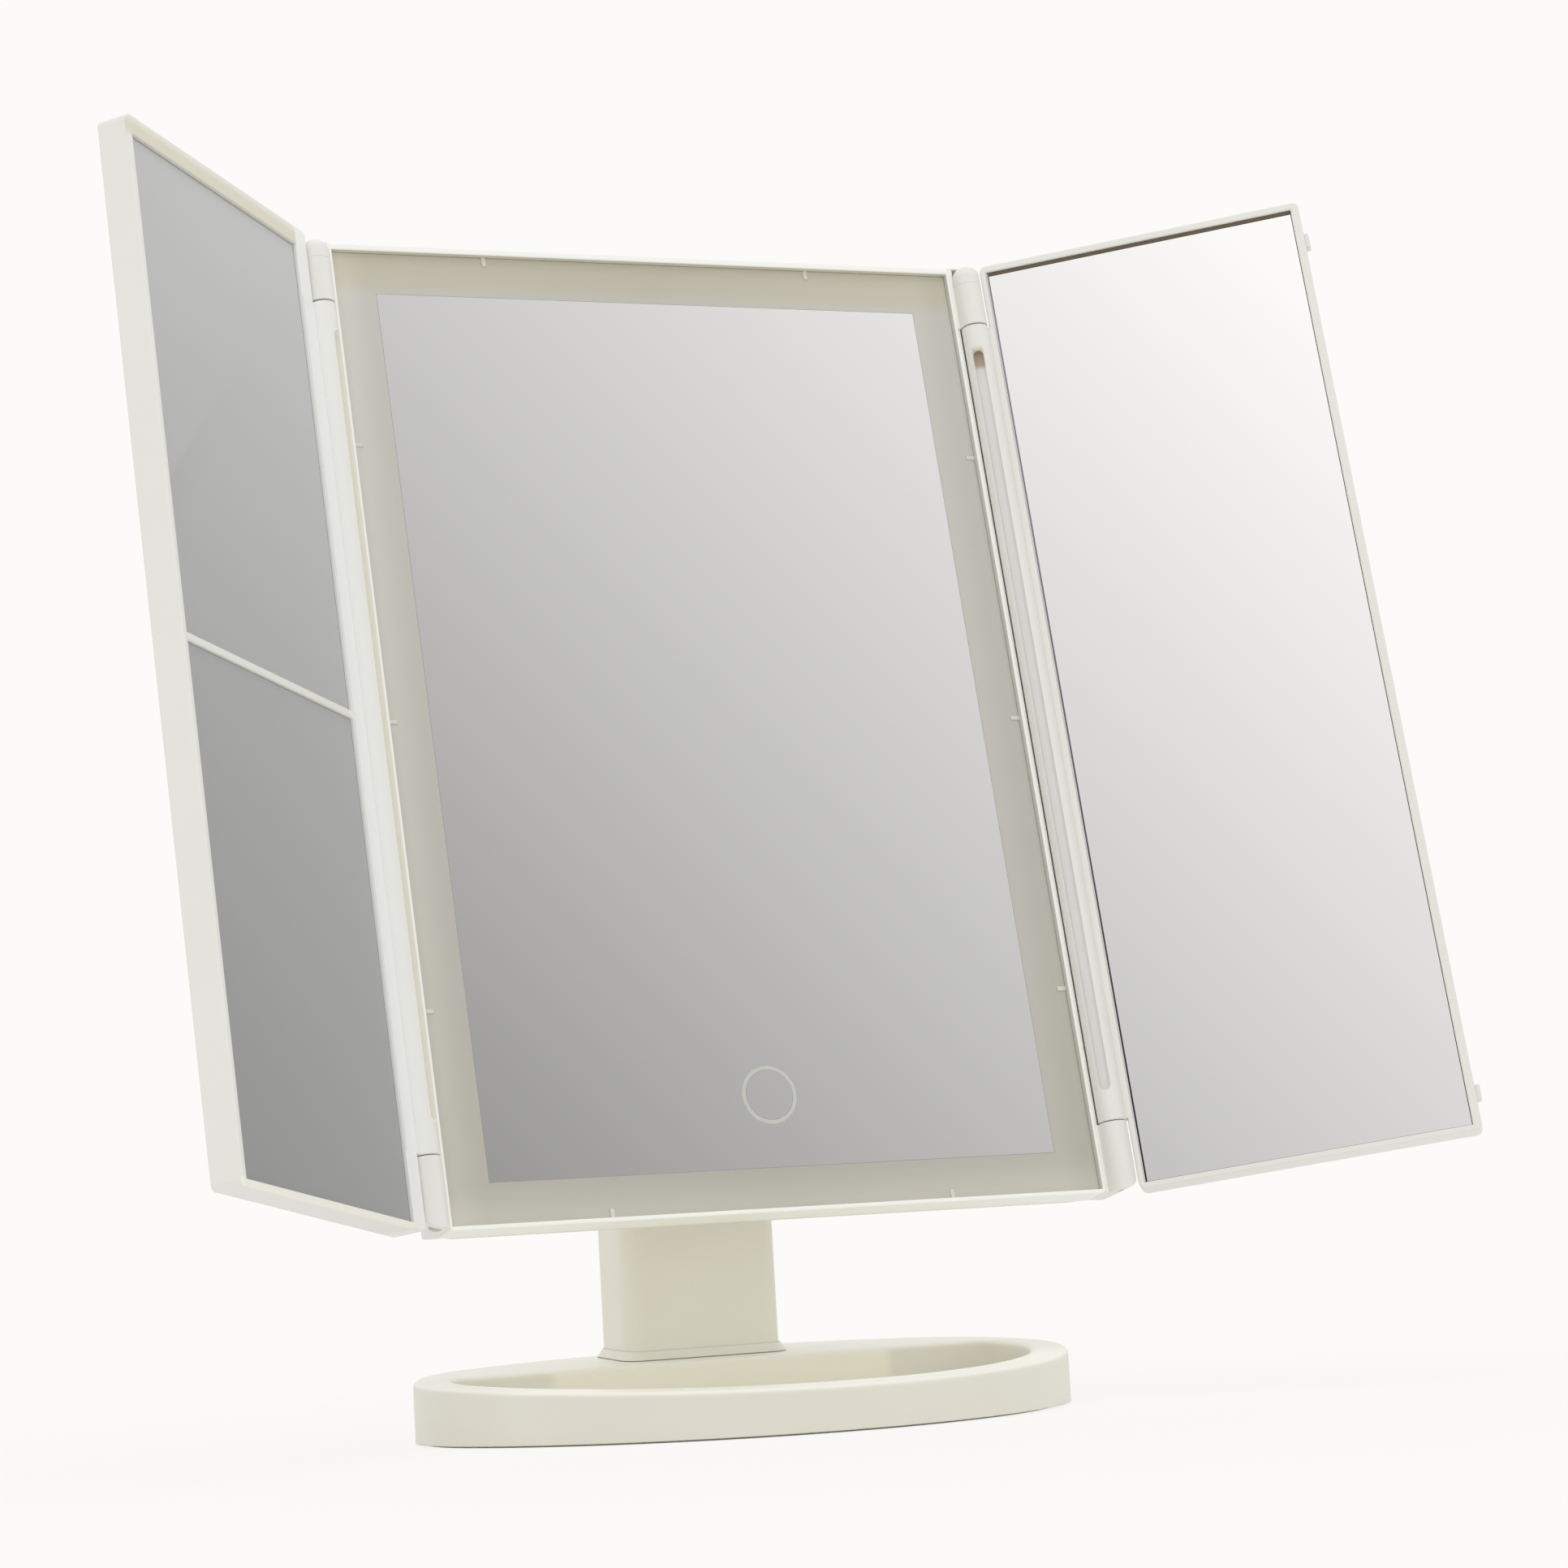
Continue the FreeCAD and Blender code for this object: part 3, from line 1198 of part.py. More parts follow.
os.makedirs("parts", exist_ok=True)
for name, shape in PARTS.items():
    shape.exportStep("parts/" + name + ".step")
    print(name, len(shape.Solids), "solids", round(shape.Volume / 1000, 2), "cm3", shape.isValid())
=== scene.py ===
"""Looks of a trifold vanity mirror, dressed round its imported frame.

Lengths are in metres. The model stands on z = 0 with x to the right, y to the back and z up.
The head leans back, so its own pieces are laid out in a leaning place: across, back and up.
"""

from __future__ import annotations

import json
import logging
import math
from dataclasses import dataclass, field
from enum import Enum
from typing import Any, Dict, List, Optional, Sequence, Tuple, Union

import bpy
from mathutils import Matrix, Vector

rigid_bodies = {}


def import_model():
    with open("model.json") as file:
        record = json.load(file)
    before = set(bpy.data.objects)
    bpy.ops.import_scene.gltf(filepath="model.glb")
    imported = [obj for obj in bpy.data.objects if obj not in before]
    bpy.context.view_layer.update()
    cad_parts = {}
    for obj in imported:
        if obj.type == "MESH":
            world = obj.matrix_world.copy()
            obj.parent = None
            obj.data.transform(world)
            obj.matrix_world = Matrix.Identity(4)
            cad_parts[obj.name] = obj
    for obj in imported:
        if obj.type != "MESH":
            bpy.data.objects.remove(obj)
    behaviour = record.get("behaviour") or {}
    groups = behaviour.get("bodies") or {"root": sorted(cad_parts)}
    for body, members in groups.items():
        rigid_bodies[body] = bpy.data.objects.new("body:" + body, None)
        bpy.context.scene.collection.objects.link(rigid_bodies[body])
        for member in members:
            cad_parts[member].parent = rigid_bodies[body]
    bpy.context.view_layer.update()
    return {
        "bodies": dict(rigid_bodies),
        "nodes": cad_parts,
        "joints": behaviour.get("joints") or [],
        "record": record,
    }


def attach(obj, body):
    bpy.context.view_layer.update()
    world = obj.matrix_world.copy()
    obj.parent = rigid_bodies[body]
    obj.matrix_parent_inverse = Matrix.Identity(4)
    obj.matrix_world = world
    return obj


LOG = logging.getLogger("trifold_mirror")
MM = 0.001

Colour = Tuple[float, float, float]
Number = Union[int, float]


def tone(red: Number, green: Number, blue: Number) -> Colour:
    """Turns a colour written in screen steps into the linear values that shaders use.

    Args:
        red, green, blue: screen values from 0 to 255.

    Returns:
        The linear colour.
    """
    steps = (value / 255 for value in (red, green, blue))
    return tuple(v / 12.92 if v <= 0.04045 else ((v + 0.055) / 1.055) ** 2.4 for v in steps)


class Body(Enum):
    """The bodies that move against each other."""

    STAND = "stand"
    HEAD = "head"
    LEFT_WING = "left_wing"
    RIGHT_WING = "right_wing"
    SWITCH = "power_switch"
    DOOR = "battery_door"


class Slot(Enum):
    """The finishes that the record names."""

    CREAM = "cream_plastic"
    WARM = "warm_plastic"
    FROSTED = "frosted_panel"
    MIRROR = "mirror_glass"
    INK = "ring_ink"
    PAD = "soft_pad"
    TAPE = "tape"
    STEEL = "steel"
    COATED = "coated_steel"
    ACETAL = "acetal"
    REFLECTOR = "white_reflector"
    CIRCUIT = "circuit"
    LAMP = "lamp"
    CELL = "cell_can"
    WIRE = "wire_skin"


CREAM = tone(240, 239, 233)
CREAM_SHADE = tone(238, 237, 230)


# ---------------------------------------------------------------------------- places


@dataclass(frozen=True)
class Place:
    """A working frame in the model: an origin and its across, back and up directions."""

    origin: Vector
    across: Vector
    back: Vector
    up: Vector

    def point(self, u: float, n: float, z: float) -> Vector:
        """Returns the model point at u across, n back and z up in this place."""
        return self.origin + u * self.across + n * self.back + z * self.up

    def matrix(self) -> Matrix:
        """Returns the matrix that carries a mesh from this place into the model."""
        turn = Matrix((self.across, self.back, self.up)).transposed().to_4x4()
        return Matrix.Translation(self.origin) @ turn


@dataclass(frozen=True)
class Lean:
    """The head's lean about the tilt shaft on top of the neck."""

    degrees: float = 12.3
    pivot_y: float = 40.4 * MM
    pivot_z: float = 128.0 * MM
    pivot_back: float = 41.0 * MM
    pivot_up: float = 90.0 * MM
    hinge_across: float = 85.8 * MM
    hinge_back: float = -1.2 * MM

    def head(self) -> Place:
        """Returns the head's place: its origin is the lip's inner bottom line."""
        angle = math.radians(self.degrees)
        back = Vector((0, math.cos(angle), -math.sin(angle)))
        up = Vector((0, math.sin(angle), math.cos(angle)))
        pivot = Vector((0, self.pivot_y, self.pivot_z))
        return Place(pivot - self.pivot_back * back - self.pivot_up * up, Vector((1, 0, 0)), back, up)

    def wing(self, side: int, fold: float) -> Place:
        """Returns a wing's place, with across pointing away from its hinge.

        Args:
            side: -1 for the left wing and 1 for the right wing.
            fold: how far the wing is folded forward, in degrees.

        Returns:
            The place, with its origin on the hinge line.
        """
        head = self.head()
        angle = math.radians(fold)
        across = side * math.cos(angle) * head.across - math.sin(angle) * head.back
        back = side * math.sin(angle) * head.across + math.cos(angle) * head.back
        return Place(head.point(side * self.hinge_across, self.hinge_back, 0), across, back, head.up)


# --------------------------------------------------------------------- shader maths


class Wire:
    """A number on a shader link, so that maths on it reads as plain Python."""

    def __init__(self, tree: "Tree", socket: bpy.types.NodeSocket) -> None:
        """Keeps the tree that the number belongs to and its socket."""
        self.tree, self.socket = tree, socket

    def __add__(self, other: "Term") -> "Wire":
        """Adds a number."""
        return self.tree.maths("ADD", self, other)

    def __sub__(self, other: "Term") -> "Wire":
        """Takes a number away."""
        return self.tree.maths("SUBTRACT", self, other)

    def __rsub__(self, other: "Term") -> "Wire":
        """Takes this number away from another."""
        return self.tree.maths("SUBTRACT", other, self)

    def __mul__(self, other: "Term") -> "Wire":
        """Multiplies by a number."""
        return self.tree.maths("MULTIPLY", self, other)

    def __truediv__(self, other: "Term") -> "Wire":
        """Divides by a number."""
        return self.tree.maths("DIVIDE", self, other)

    def __gt__(self, other: "Term") -> "Wire":
        """Gives 1 where this number is the larger, and 0 elsewhere."""
        return self.tree.maths("GREATER_THAN", self, other)

    def __abs__(self) -> "Wire":
        """Drops the sign."""
        return self.tree.maths("ABSOLUTE", self)

    __radd__ = __add__

    def ramp(self, low: float, high: float) -> "Wire":
        """Rises smoothly from 0 at low to 1 at high."""
        return self.tree.value("ShaderNodeMapRange", {"interpolation_type": "SMOOTHSTEP"},
                               {"Value": self, "From Min": low, "From Max": high})

    def larger(self, other: "Term") -> "Wire":
        """Keeps the larger of two numbers."""
        return self.tree.maths("MAXIMUM", self, other)


Term = Union[Wire, int, float]


class Tree:
    """The node tree of one material or of the world."""

    def __init__(self, tree: bpy.types.NodeTree) -> None:
        """Empties the tree and keeps it."""
        self.tree = tree
        tree.nodes.clear()

    def node(self, kind: str, settings: Optional[Dict[str, Any]] = None,
             inputs: Optional[Dict[Union[str, int], Any]] = None) -> bpy.types.Node:
        """Adds a node.

        Args:
            kind: the node's type.
            settings: its own settings, with a ramp's stops under "stops".
            inputs: values or links of its sockets, by name or number.

        Returns:
            The node.
        """
        made = self.tree.nodes.new(kind)
        for name, value in (settings or {}).items():
            if name == "stops":
                self._set_stops(made, value)
            else:
                setattr(made, name, value)
        for key, value in (inputs or {}).items():
            if isinstance(value, Wire):
                value = value.socket
            if isinstance(value, bpy.types.NodeSocket):
                self.tree.links.new(value, made.inputs[key])
            elif value is not None:
                made.inputs[key].default_value = self._fitted(made.inputs[key], value)
        return made

    @staticmethod
    def _fitted(socket: bpy.types.NodeSocket, value: Any) -> Any:
        """Gives a colour its fourth value where the socket wants one."""
        if socket.type == "RGBA" and len(value) == 3:
            return (*value, 1.0)
        return value

    @staticmethod
    def _set_stops(node: bpy.types.Node, stops: Sequence[Tuple[float, Colour]]) -> None:
        """Sets the stops of a colour ramp from pairs of place and colour."""
        elements = node.color_ramp.elements
        while len(elements) < len(stops):
            elements.new(1.0)
        for element, (place, colour) in zip(elements, stops):
            element.position, element.color = place, (*colour, 1.0)

    def value(self, kind: str, settings: Optional[Dict[str, Any]] = None,
              inputs: Optional[Dict[Union[str, int], Any]] = None, output: Union[str, int] = 0) -> Wire:
        """Adds a node and returns the number on one of its outputs."""
        return Wire(self, self.node(kind, settings, inputs).outputs[output])

    def maths(self, operation: str, first: Term, second: Term = 0.0) -> Wire:
        """Adds a Math node and returns its number."""
        return self.value("ShaderNodeMath", {"operation": operation}, {0: first, 1: second})

    def place(self) -> bpy.types.NodeSocket:
        """Returns the object coordinates, which are the model's own."""
        return self.node("ShaderNodeTexCoord").outputs["Object"]

    def along(self, where: Place, direction: Vector) -> Wire:
        """Measures from a place's origin along a direction, in metres."""
        moved = self.node("ShaderNodeVectorMath", {"operation": "SUBTRACT"},
                          {0: self.place(), 1: tuple(where.origin)})
        return self.value("ShaderNodeVectorMath", {"operation": "DOT_PRODUCT"},
                          {0: moved.outputs[0], 1: tuple(direction)}, "Value")

    def noise(self, scale: float, detail: float = 2.0,
              stretch: Tuple[float, float, float] = (1, 1, 1)) -> Wire:
        """Returns a noise number from 0 to 1 with cells of about 1/scale metres.

        Args:
            scale: how many cells there are in a metre.
            detail: how many finer layers are laid over the first.
            stretch: how much the pattern is squeezed along each axis.

        Returns:
            The number.
        """
        where = self.node("ShaderNodeMapping", None, {"Vector": self.place(), "Scale": stretch})
        return self.value("ShaderNodeTexNoise", None, {
            "Vector": where.outputs[0], "Scale": scale, "Detail": detail, "Roughness": 0.55}, "Fac")

    def mix(self, share: Term, first: Any, second: Any, blend: str = "MIX") -> bpy.types.NodeSocket:
        """Mixes two colours and returns the colour's socket."""
        made = self.node("ShaderNodeMix", {"data_type": "RGBA", "blend_type": blend},
                         {0: share, 6: first, 7: second})
        return made.outputs[2]

    def grey(self, number: Wire) -> bpy.types.NodeSocket:
        """Makes a grey colour of a number."""
        return self.node("ShaderNodeCombineColor", None, {0: number, 1: number, 2: number}).outputs[0]

    def bump(self, height: Wire, distance: float, strength: float = 1.0,
             normal: Optional[bpy.types.NodeSocket] = None) -> bpy.types.NodeSocket:
        """Raises a surface by a height from 0 to 1 and returns the normal."""
        made = self.node("ShaderNodeBump", None,
                         {"Height": height, "Distance": distance, "Strength": strength, "Normal": normal})
        return made.outputs[0]

    def soft_edge(self, radius: float) -> bpy.types.NodeSocket:
        """Returns a normal that rounds the sharp edges of a moulding."""
        return self.node("ShaderNodeBevel", {"samples": 6}, {"Radius": radius}).outputs[0]

    def finish(self, shader: bpy.types.NodeSocket, output: str = "ShaderNodeOutputMaterial") -> None:
        """Joins the last shader to the output."""
        self.node(output, None, {"Surface": shader})


def material(name: str) -> Tuple[bpy.types.Material, Tree]:
    """Adds an empty material and returns it with its tree."""
    made = bpy.data.materials.new(name)
    made.use_nodes = True
    return made, Tree(made.node_tree)


# -------------------------------------------------------------------------- finishes


@dataclass(frozen=True)
class Zone:
    """A box in a place where a moulding takes another tone, with soft borders.

    Each span gives the low and high end along one direction, in metres.
    """

    where: Place
    across: Tuple[float, float]
    back: Tuple[float, float]
    up: Tuple[float, float]
    colour: Colour
    soft: float = 0.15 * MM
    fade: float = 1.0 * MM

    def share(self, tree: Tree) -> Wire:
        """Returns 1 inside the box and 0 outside it."""
        directions = (self.where.across, self.where.back, self.where.up)
        spans = (self.across, self.back, self.up)
        total: Term = 1.0
        for direction, (low, high), soft in zip(directions, spans, (self.soft, self.soft, self.fade)):
            reach = tree.along(self.where, direction)
            total = reach.ramp(low - soft, low + soft) * (1.0 - reach.ramp(high - soft, high + soft)) * total
        return total


@dataclass(frozen=True)
class MouldedPlastic:
    """Satin moulded plastic with a faint cloudiness, fine spark grain and softened edges."""

    name: str
    colour: Colour
    shade: Colour
    roughness: float = 0.42
    coat: float = 0.12
    cloud_scale: float = 26.0
    grain_scale: float = 2600.0
    grain_depth: float = 0.006 * MM
    edge_radius: float = 0.35 * MM
    zones: Tuple[Zone, ...] = ()

    def make(self) -> bpy.types.Material:
        """Returns the material."""
        made, tree = material(self.name)
        cloud = tree.noise(self.cloud_scale, 3.0)
        grain = tree.noise(self.grain_scale, 2.0)
        normal = tree.bump(grain, self.grain_depth, 0.5, tree.soft_edge(self.edge_radius))
        colour = tree.mix(cloud.ramp(0.3, 0.7), self.shade, self.colour)
        for zone in self.zones:
            colour = tree.mix(zone.share(tree), colour, zone.colour)
        shader = tree.node("ShaderNodeBsdfPrincipled", None, {
            "Base Color": colour,
            "Roughness": self.roughness + (cloud - 0.5) * 0.08 + (grain - 0.5) * 0.06,
            "IOR": 1.46, "Coat Weight": self.coat, "Coat Roughness": 0.3, "Normal": normal})
        tree.finish(shader.outputs[0])
        return made


@dataclass(frozen=True)
class FrostedPanel:
    """The frosted light panel round the mirror: paler at the top, with painted light and shade over its
    border and an even matt grain.
    """

    name: str
    where: Place
    foot: Colour
    top: Colour
    height: float = 234.0 * MM
    half_width: float = 81.1 * MM
    border: float = 9.6 * MM
    # painted light and shade of the border: a level rising towards the sides and the right, light near the
    # left and bottom edges, shade just in from the right edge
    middle_level: float = 0.965
    side_gain: float = 0.075
    right_gain: float = 0.02
    left_painted_light: float = 0.15
    low_painted_light: float = 0.17
    right_painted_shade: float = 0.06
    dip_at: float = 3.6 * MM
    # painted shade: the top band is darkened and tanned, as if shadowed from above
    top_painted_shade: Colour = tone(252, 247, 234)
    top_band: Tuple[float, float] = (222.0 * MM, 228.0 * MM)

    def level(self, tree: Tree) -> Wire:
        """Returns the border's painted light: raised towards the sides and near the left and bottom edges,
        fading towards the mirror, with a painted shade dip just in from the right edge.
        """
        across = tree.along(self.where, self.where.across)
        lean = across / self.half_width
        left = across + self.half_width
        right = self.half_width - across
        low = tree.along(self.where, self.where.up)
        base = abs(lean) * self.side_gain + lean * self.right_gain + self.middle_level
        glow = (1.0 - left.ramp(0.0, self.border)) * self.left_painted_light
        glow = glow + (1.0 - low.ramp(0.0, self.border)) * self.low_painted_light
        dip = right.ramp(0.0, self.dip_at) * (1.0 - right.ramp(self.dip_at, self.border)) * self.right_painted_shade
        return base + glow - dip

    def make(self) -> bpy.types.Material:
        """Returns the material."""
        made, tree = material(self.name)
        rise = tree.along(self.where, self.where.up)
        colour = tree.mix(rise / self.height, self.foot, self.top)
        # painted shade over the top band
        colour = tree.mix(rise.ramp(*self.top_band), colour, tree.mix(1.0, colour, self.top_painted_shade, "MULTIPLY"))
        # painted light: the border's level multiplies its colour
        lift = tree.grey(self.level(tree))
        grain = tree.noise(1500.0, 3.0)
        shader = tree.node("ShaderNodeBsdfPrincipled", None, {
            "Base Color": tree.mix(1.0, colour, lift, "MULTIPLY"),
            "Roughness": 0.55 + (grain - 0.5) * 0.1,
            "IOR": 1.49, "Specular IOR Level": 0.35,
            "Normal": tree.bump(grain, 0.01 * MM, 0.4)})
        tree.finish(shader.outputs[0])
        return made


@dataclass(frozen=True)
class MirrorGlass:
    """Silvered glass: a painted reflection, a soft grey sweep in its colour, over a sharp reflection, with
    dark paint on its edges.

    At a grazing look the silver turns to a plain haze, as thin furniture mirrors do.
    """

    name: str
    where: Place
    low: Tuple[float, float]
    high: Tuple[float, float]
    # middle, across and up set the painted reflection's level and its rise across and up the pane
    middle: float
    across: float
    up: float
    edge: Colour = tone(92, 80, 66)
    edge_width: float = 0.06 * MM

    def make(self) -> bpy.types.Material:
        """Returns the material."""
        made, tree = material(self.name)
        u = tree.along(self.where, self.where.across)
        z = tree.along(self.where, self.where.up)
        u_mid, u_half = (self.low[0] + self.high[0]) / 2, (self.high[0] - self.low[0]) / 2
        z_mid, z_half = (self.low[1] + self.high[1]) / 2, (self.high[1] - self.low[1]) / 2
        side = (u - u_mid) / u_half
        rise = (z - z_mid) / z_half
        # painted reflection: a grey sweep standing in for the studio seen in the glass
        sweep = side * self.across + rise * self.up + self.middle
        rim = (abs(u - u_mid) > u_half - self.edge_width).larger(abs(z - z_mid) > z_half - self.edge_width)
        silver = tree.mix(rim, tree.grey(sweep), self.edge)
        sharp = tree.node("ShaderNodeBsdfPrincipled", None, {
            "Base Color": silver, "Metallic": 1.0 - rim, "Roughness": rim * 0.5})
        veil = tree.node("ShaderNodeBsdfPrincipled", None, {
            "Base Color": tree.mix(rim, tree.grey(sweep), self.edge),
            "Roughness": 0.5, "Specular IOR Level": 0.2})
        graze = tree.value("ShaderNodeLayerWeight", None, {"Blend": 0.5}, "Facing").ramp(0.40, 0.60)
        both = tree.node("ShaderNodeMixShader", None, {0: graze, 1: sharp.outputs[0], 2: veil.outputs[0]})
        tree.finish(both.outputs[0])
        return made


@dataclass(frozen=True)
class MattSolid:
    """A matt or satin material with speckle in two tones: rubber, foam, ink and board."""

    name: str
    colour: Colour
    fleck: Colour
    roughness: float = 0.6
    fleck_scale: float = 400.0
    grain_depth: float = 0.01 * MM
    coat: float = 0.0

    def make(self) -> bpy.types.Material:
        """Returns the material."""
        made, tree = material(self.name)
        fleck = tree.noise(self.fleck_scale, 4.0)
        shader = tree.node("ShaderNodeBsdfPrincipled", None, {
            "Base Color": tree.mix(fleck.ramp(0.35, 0.65), self.colour, self.fleck),
            "Roughness": self.roughness + (fleck - 0.5) * 0.1,
            "Coat Weight": self.coat, "Coat Roughness": 0.2,
            "Normal": tree.bump(fleck, self.grain_depth, 0.5)})
        tree.finish(shader.outputs[0])
        return made


@dataclass(frozen=True)
class Metal:
    """Plated or coated metal with fine scratches drawn along one way."""

    name: str
    colour: Colour
    roughness: float = 0.32
    metallic: float = 1.0
    drawn: Tuple[float, float, float] = (1.0, 1.0, 0.08)

    def make(self) -> bpy.types.Material:
        """Returns the material."""
        made, tree = material(self.name)
        scratch = tree.noise(1800.0, 2.0, self.drawn)
        worn = tree.noise(90.0, 3.0)
        dark = tuple(0.82 * value for value in self.colour)
        shader = tree.node("ShaderNodeBsdfPrincipled", None, {
            "Base Color": tree.mix(worn.ramp(0.3, 0.7), dark, self.colour),
            "Metallic": self.metallic,
            "Roughness": self.roughness + (scratch - 0.5) * 0.2,
            "Normal": tree.bump(scratch, 0.004 * MM, 0.4)})
        tree.finish(shader.outputs[0])
        return made


Finish = Union[MouldedPlastic, FrostedPanel, MirrorGlass, MattSolid, Metal]


# ------------------------------------------------------------------------------ kit


@dataclass
class Kit:
    """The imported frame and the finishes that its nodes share."""

    frame: Dict[str, Any]
    finishes: Dict[Slot, bpy.types.Material] = field(default_factory=dict)

    def add(self, slot: Slot, finish: Finish) -> None:
        """Makes the finish of a slot."""
        self.finishes[slot] = finish.make()

    def dress(self, node: str, made: bpy.types.Material) -> None:
        """Gives a node one material all over."""
        materials = self.frame["nodes"][node].data.materials
        materials.clear()
        materials.append(made)
        LOG.info("dressed %s in %s", node, made.name)

    def dress_all(self) -> int:
        """Gives every node the finish that the record names for it.

        Returns:
            How many nodes were dressed.
        """
        by_name = {slot.value: made for slot, made in self.finishes.items()}
        for obj in self.frame["nodes"].values():
            name = obj.data.materials[0].name.split(".")[0]
            self.dress(obj.name, by_name[name])
        return len(self.frame["nodes"])


# ----------------------------------------------------------------------------- shapes


class Shapes:
    """Small solids drawn in a place's own directions and then carried into the model."""

    @staticmethod
    def only(obj: bpy.types.Object) -> None:
        """Selects one object and makes it the active one."""
        bpy.ops.object.select_all(action="DESELECT")
        obj.select_set(True)
        bpy.context.view_layer.objects.active = obj

    @classmethod
    def settle(cls, obj: bpy.types.Object, where: Place) -> None:
        """Carries an object into the model and leaves its origin at the world's, unturned."""
        cls.only(obj)
        obj.matrix_world = where.matrix() @ obj.matrix_world
        bpy.ops.object.transform_apply(location=True, rotation=True, scale=True)

    @classmethod
    def block(cls, name: str, where: Place, low: Tuple[float, float, float],
              high: Tuple[float, float, float]) -> bpy.types.Object:
        """Makes a block.

        Args:
            name: the object's name.
            where: the place in whose directions the corners are given.
            low: the block's low corner, across, back and up.
            high: its high corner.

        Returns:
            The object.
        """
        bpy.ops.object.select_all(action="DESELECT")
        bpy.ops.mesh.primitive_cube_add(size=1.0)
        obj = bpy.context.active_object
        obj.name = name
        obj.scale = [b - a for a, b in zip(low, high)]
        obj.location = [(a + b) / 2 for a, b in zip(low, high)]
        bpy.ops.object.transform_apply(location=True, rotation=True, scale=True)
        cls.settle(obj, where)
        return obj

    @staticmethod
    def wear(obj: bpy.types.Object, made: bpy.types.Material) -> None:
        """Gives an object one material."""
        obj.data.materials.clear()
        obj.data.materials.append(made)


# ---------------------------------------------------------------------------- mirrors


@dataclass
class Mirrors:
    """The four silvered panes, each with its own painted reflection, a soft sweep of grey."""

    lean: Lean
    left_fold: float = 43.7
    right_fold: float = 33.9
    centre_half: float = 70.7 * MM
    centre_z: Tuple[float, float] = (9.6 * MM, 223.6 * MM)
    left_u: Tuple[float, float] = (9.0 * MM, 82.9 * MM)
    left_z: Tuple[float, float] = (0.0 * MM, 231.4 * MM)
    right_u: Tuple[float, float] = (5.6 * MM, 81.9 * MM)
    right_z: Tuple[float, float] = (0.3 * MM, 232.2 * MM)
    divider: Tuple[float, float] = (114.9 * MM, 116.8 * MM)

    def finishes(self) -> Dict[str, MirrorGlass]:
        """Returns the finish of each pane, by node."""
        head = self.lean.head()
        left = self.lean.wing(-1, self.left_fold)
        right = self.lean.wing(1, self.right_fold)
        l0, l1 = self.left_u
        r0, r1 = self.right_u
        d0, d1 = self.divider
        # the last three numbers of each pane give its painted reflection: middle level, rise across and rise
        # up
        return {
            "centre_mirror": MirrorGlass("centre_silver", head, (-self.centre_half, self.centre_z[0]),
                                         (self.centre_half, self.centre_z[1]), 0.564, 0.102, 0.136,
                                         edge=tone(178, 176, 170)),
            "right_mirror": MirrorGlass("right_silver", right, (r0, self.right_z[0]),
                                        (r1, self.right_z[1]), 0.79, 0.076, 0.156),
            "left_upper_mirror": MirrorGlass("left_upper_silver", left, (l0, d1),
                                             (l1, self.left_z[1]), 0.545, -0.02, 0.055),
            "left_lower_mirror": MirrorGlass("left_lower_silver", left, (l0, self.left_z[0]),
                                             (l1, d0), 0.425, -0.02, 0.04),
        }

    def dress(self, kit: Kit) -> None:
        """Gives each pane its silver."""
        for node, finish in self.finishes().items():
            kit.dress(node, finish.make())


@dataclass(frozen=True)
class GapShadePaint:
    """Painted shade for a gap at a mirror's edge: dark at the foot, paler towards the top, and a pale painted
    light short of a line across.
    """

    name: str
    where: Place
    foot: Colour
    top: Colour
    span: Tuple[float, float]
    # past the line across, the strip takes the painted shade; short of it, the pale painted light
    shade_from: float = -1.0
    pale: Colour = tone(236, 235, 228)

    def make(self) -> bpy.types.Material:
        """Returns the material."""
        made, tree = material(self.name)
        low, high = self.span
        rise = (tree.along(self.where, self.where.up) - low) / (high - low)
        fleck = tree.noise(1200.0, 3.0)
        colour = tree.mix(rise.ramp(0.0, 1.0), self.foot, self.top)
        dark = tree.along(self.where, self.where.across) > self.shade_from
        colour = tree.mix(dark, self.pale, colour)
        shader = tree.node("ShaderNodeBsdfPrincipled", None, {
            "Base Color": tree.mix(fleck * 0.1, colour, self.foot),
            "Roughness": 0.55 + (fleck - 0.5) * 0.1, "Specular IOR Level": 0.2,
            "Normal": tree.bump(fleck, 0.01 * MM, 0.4)})
        tree.finish(shader.outputs[0])
        return made


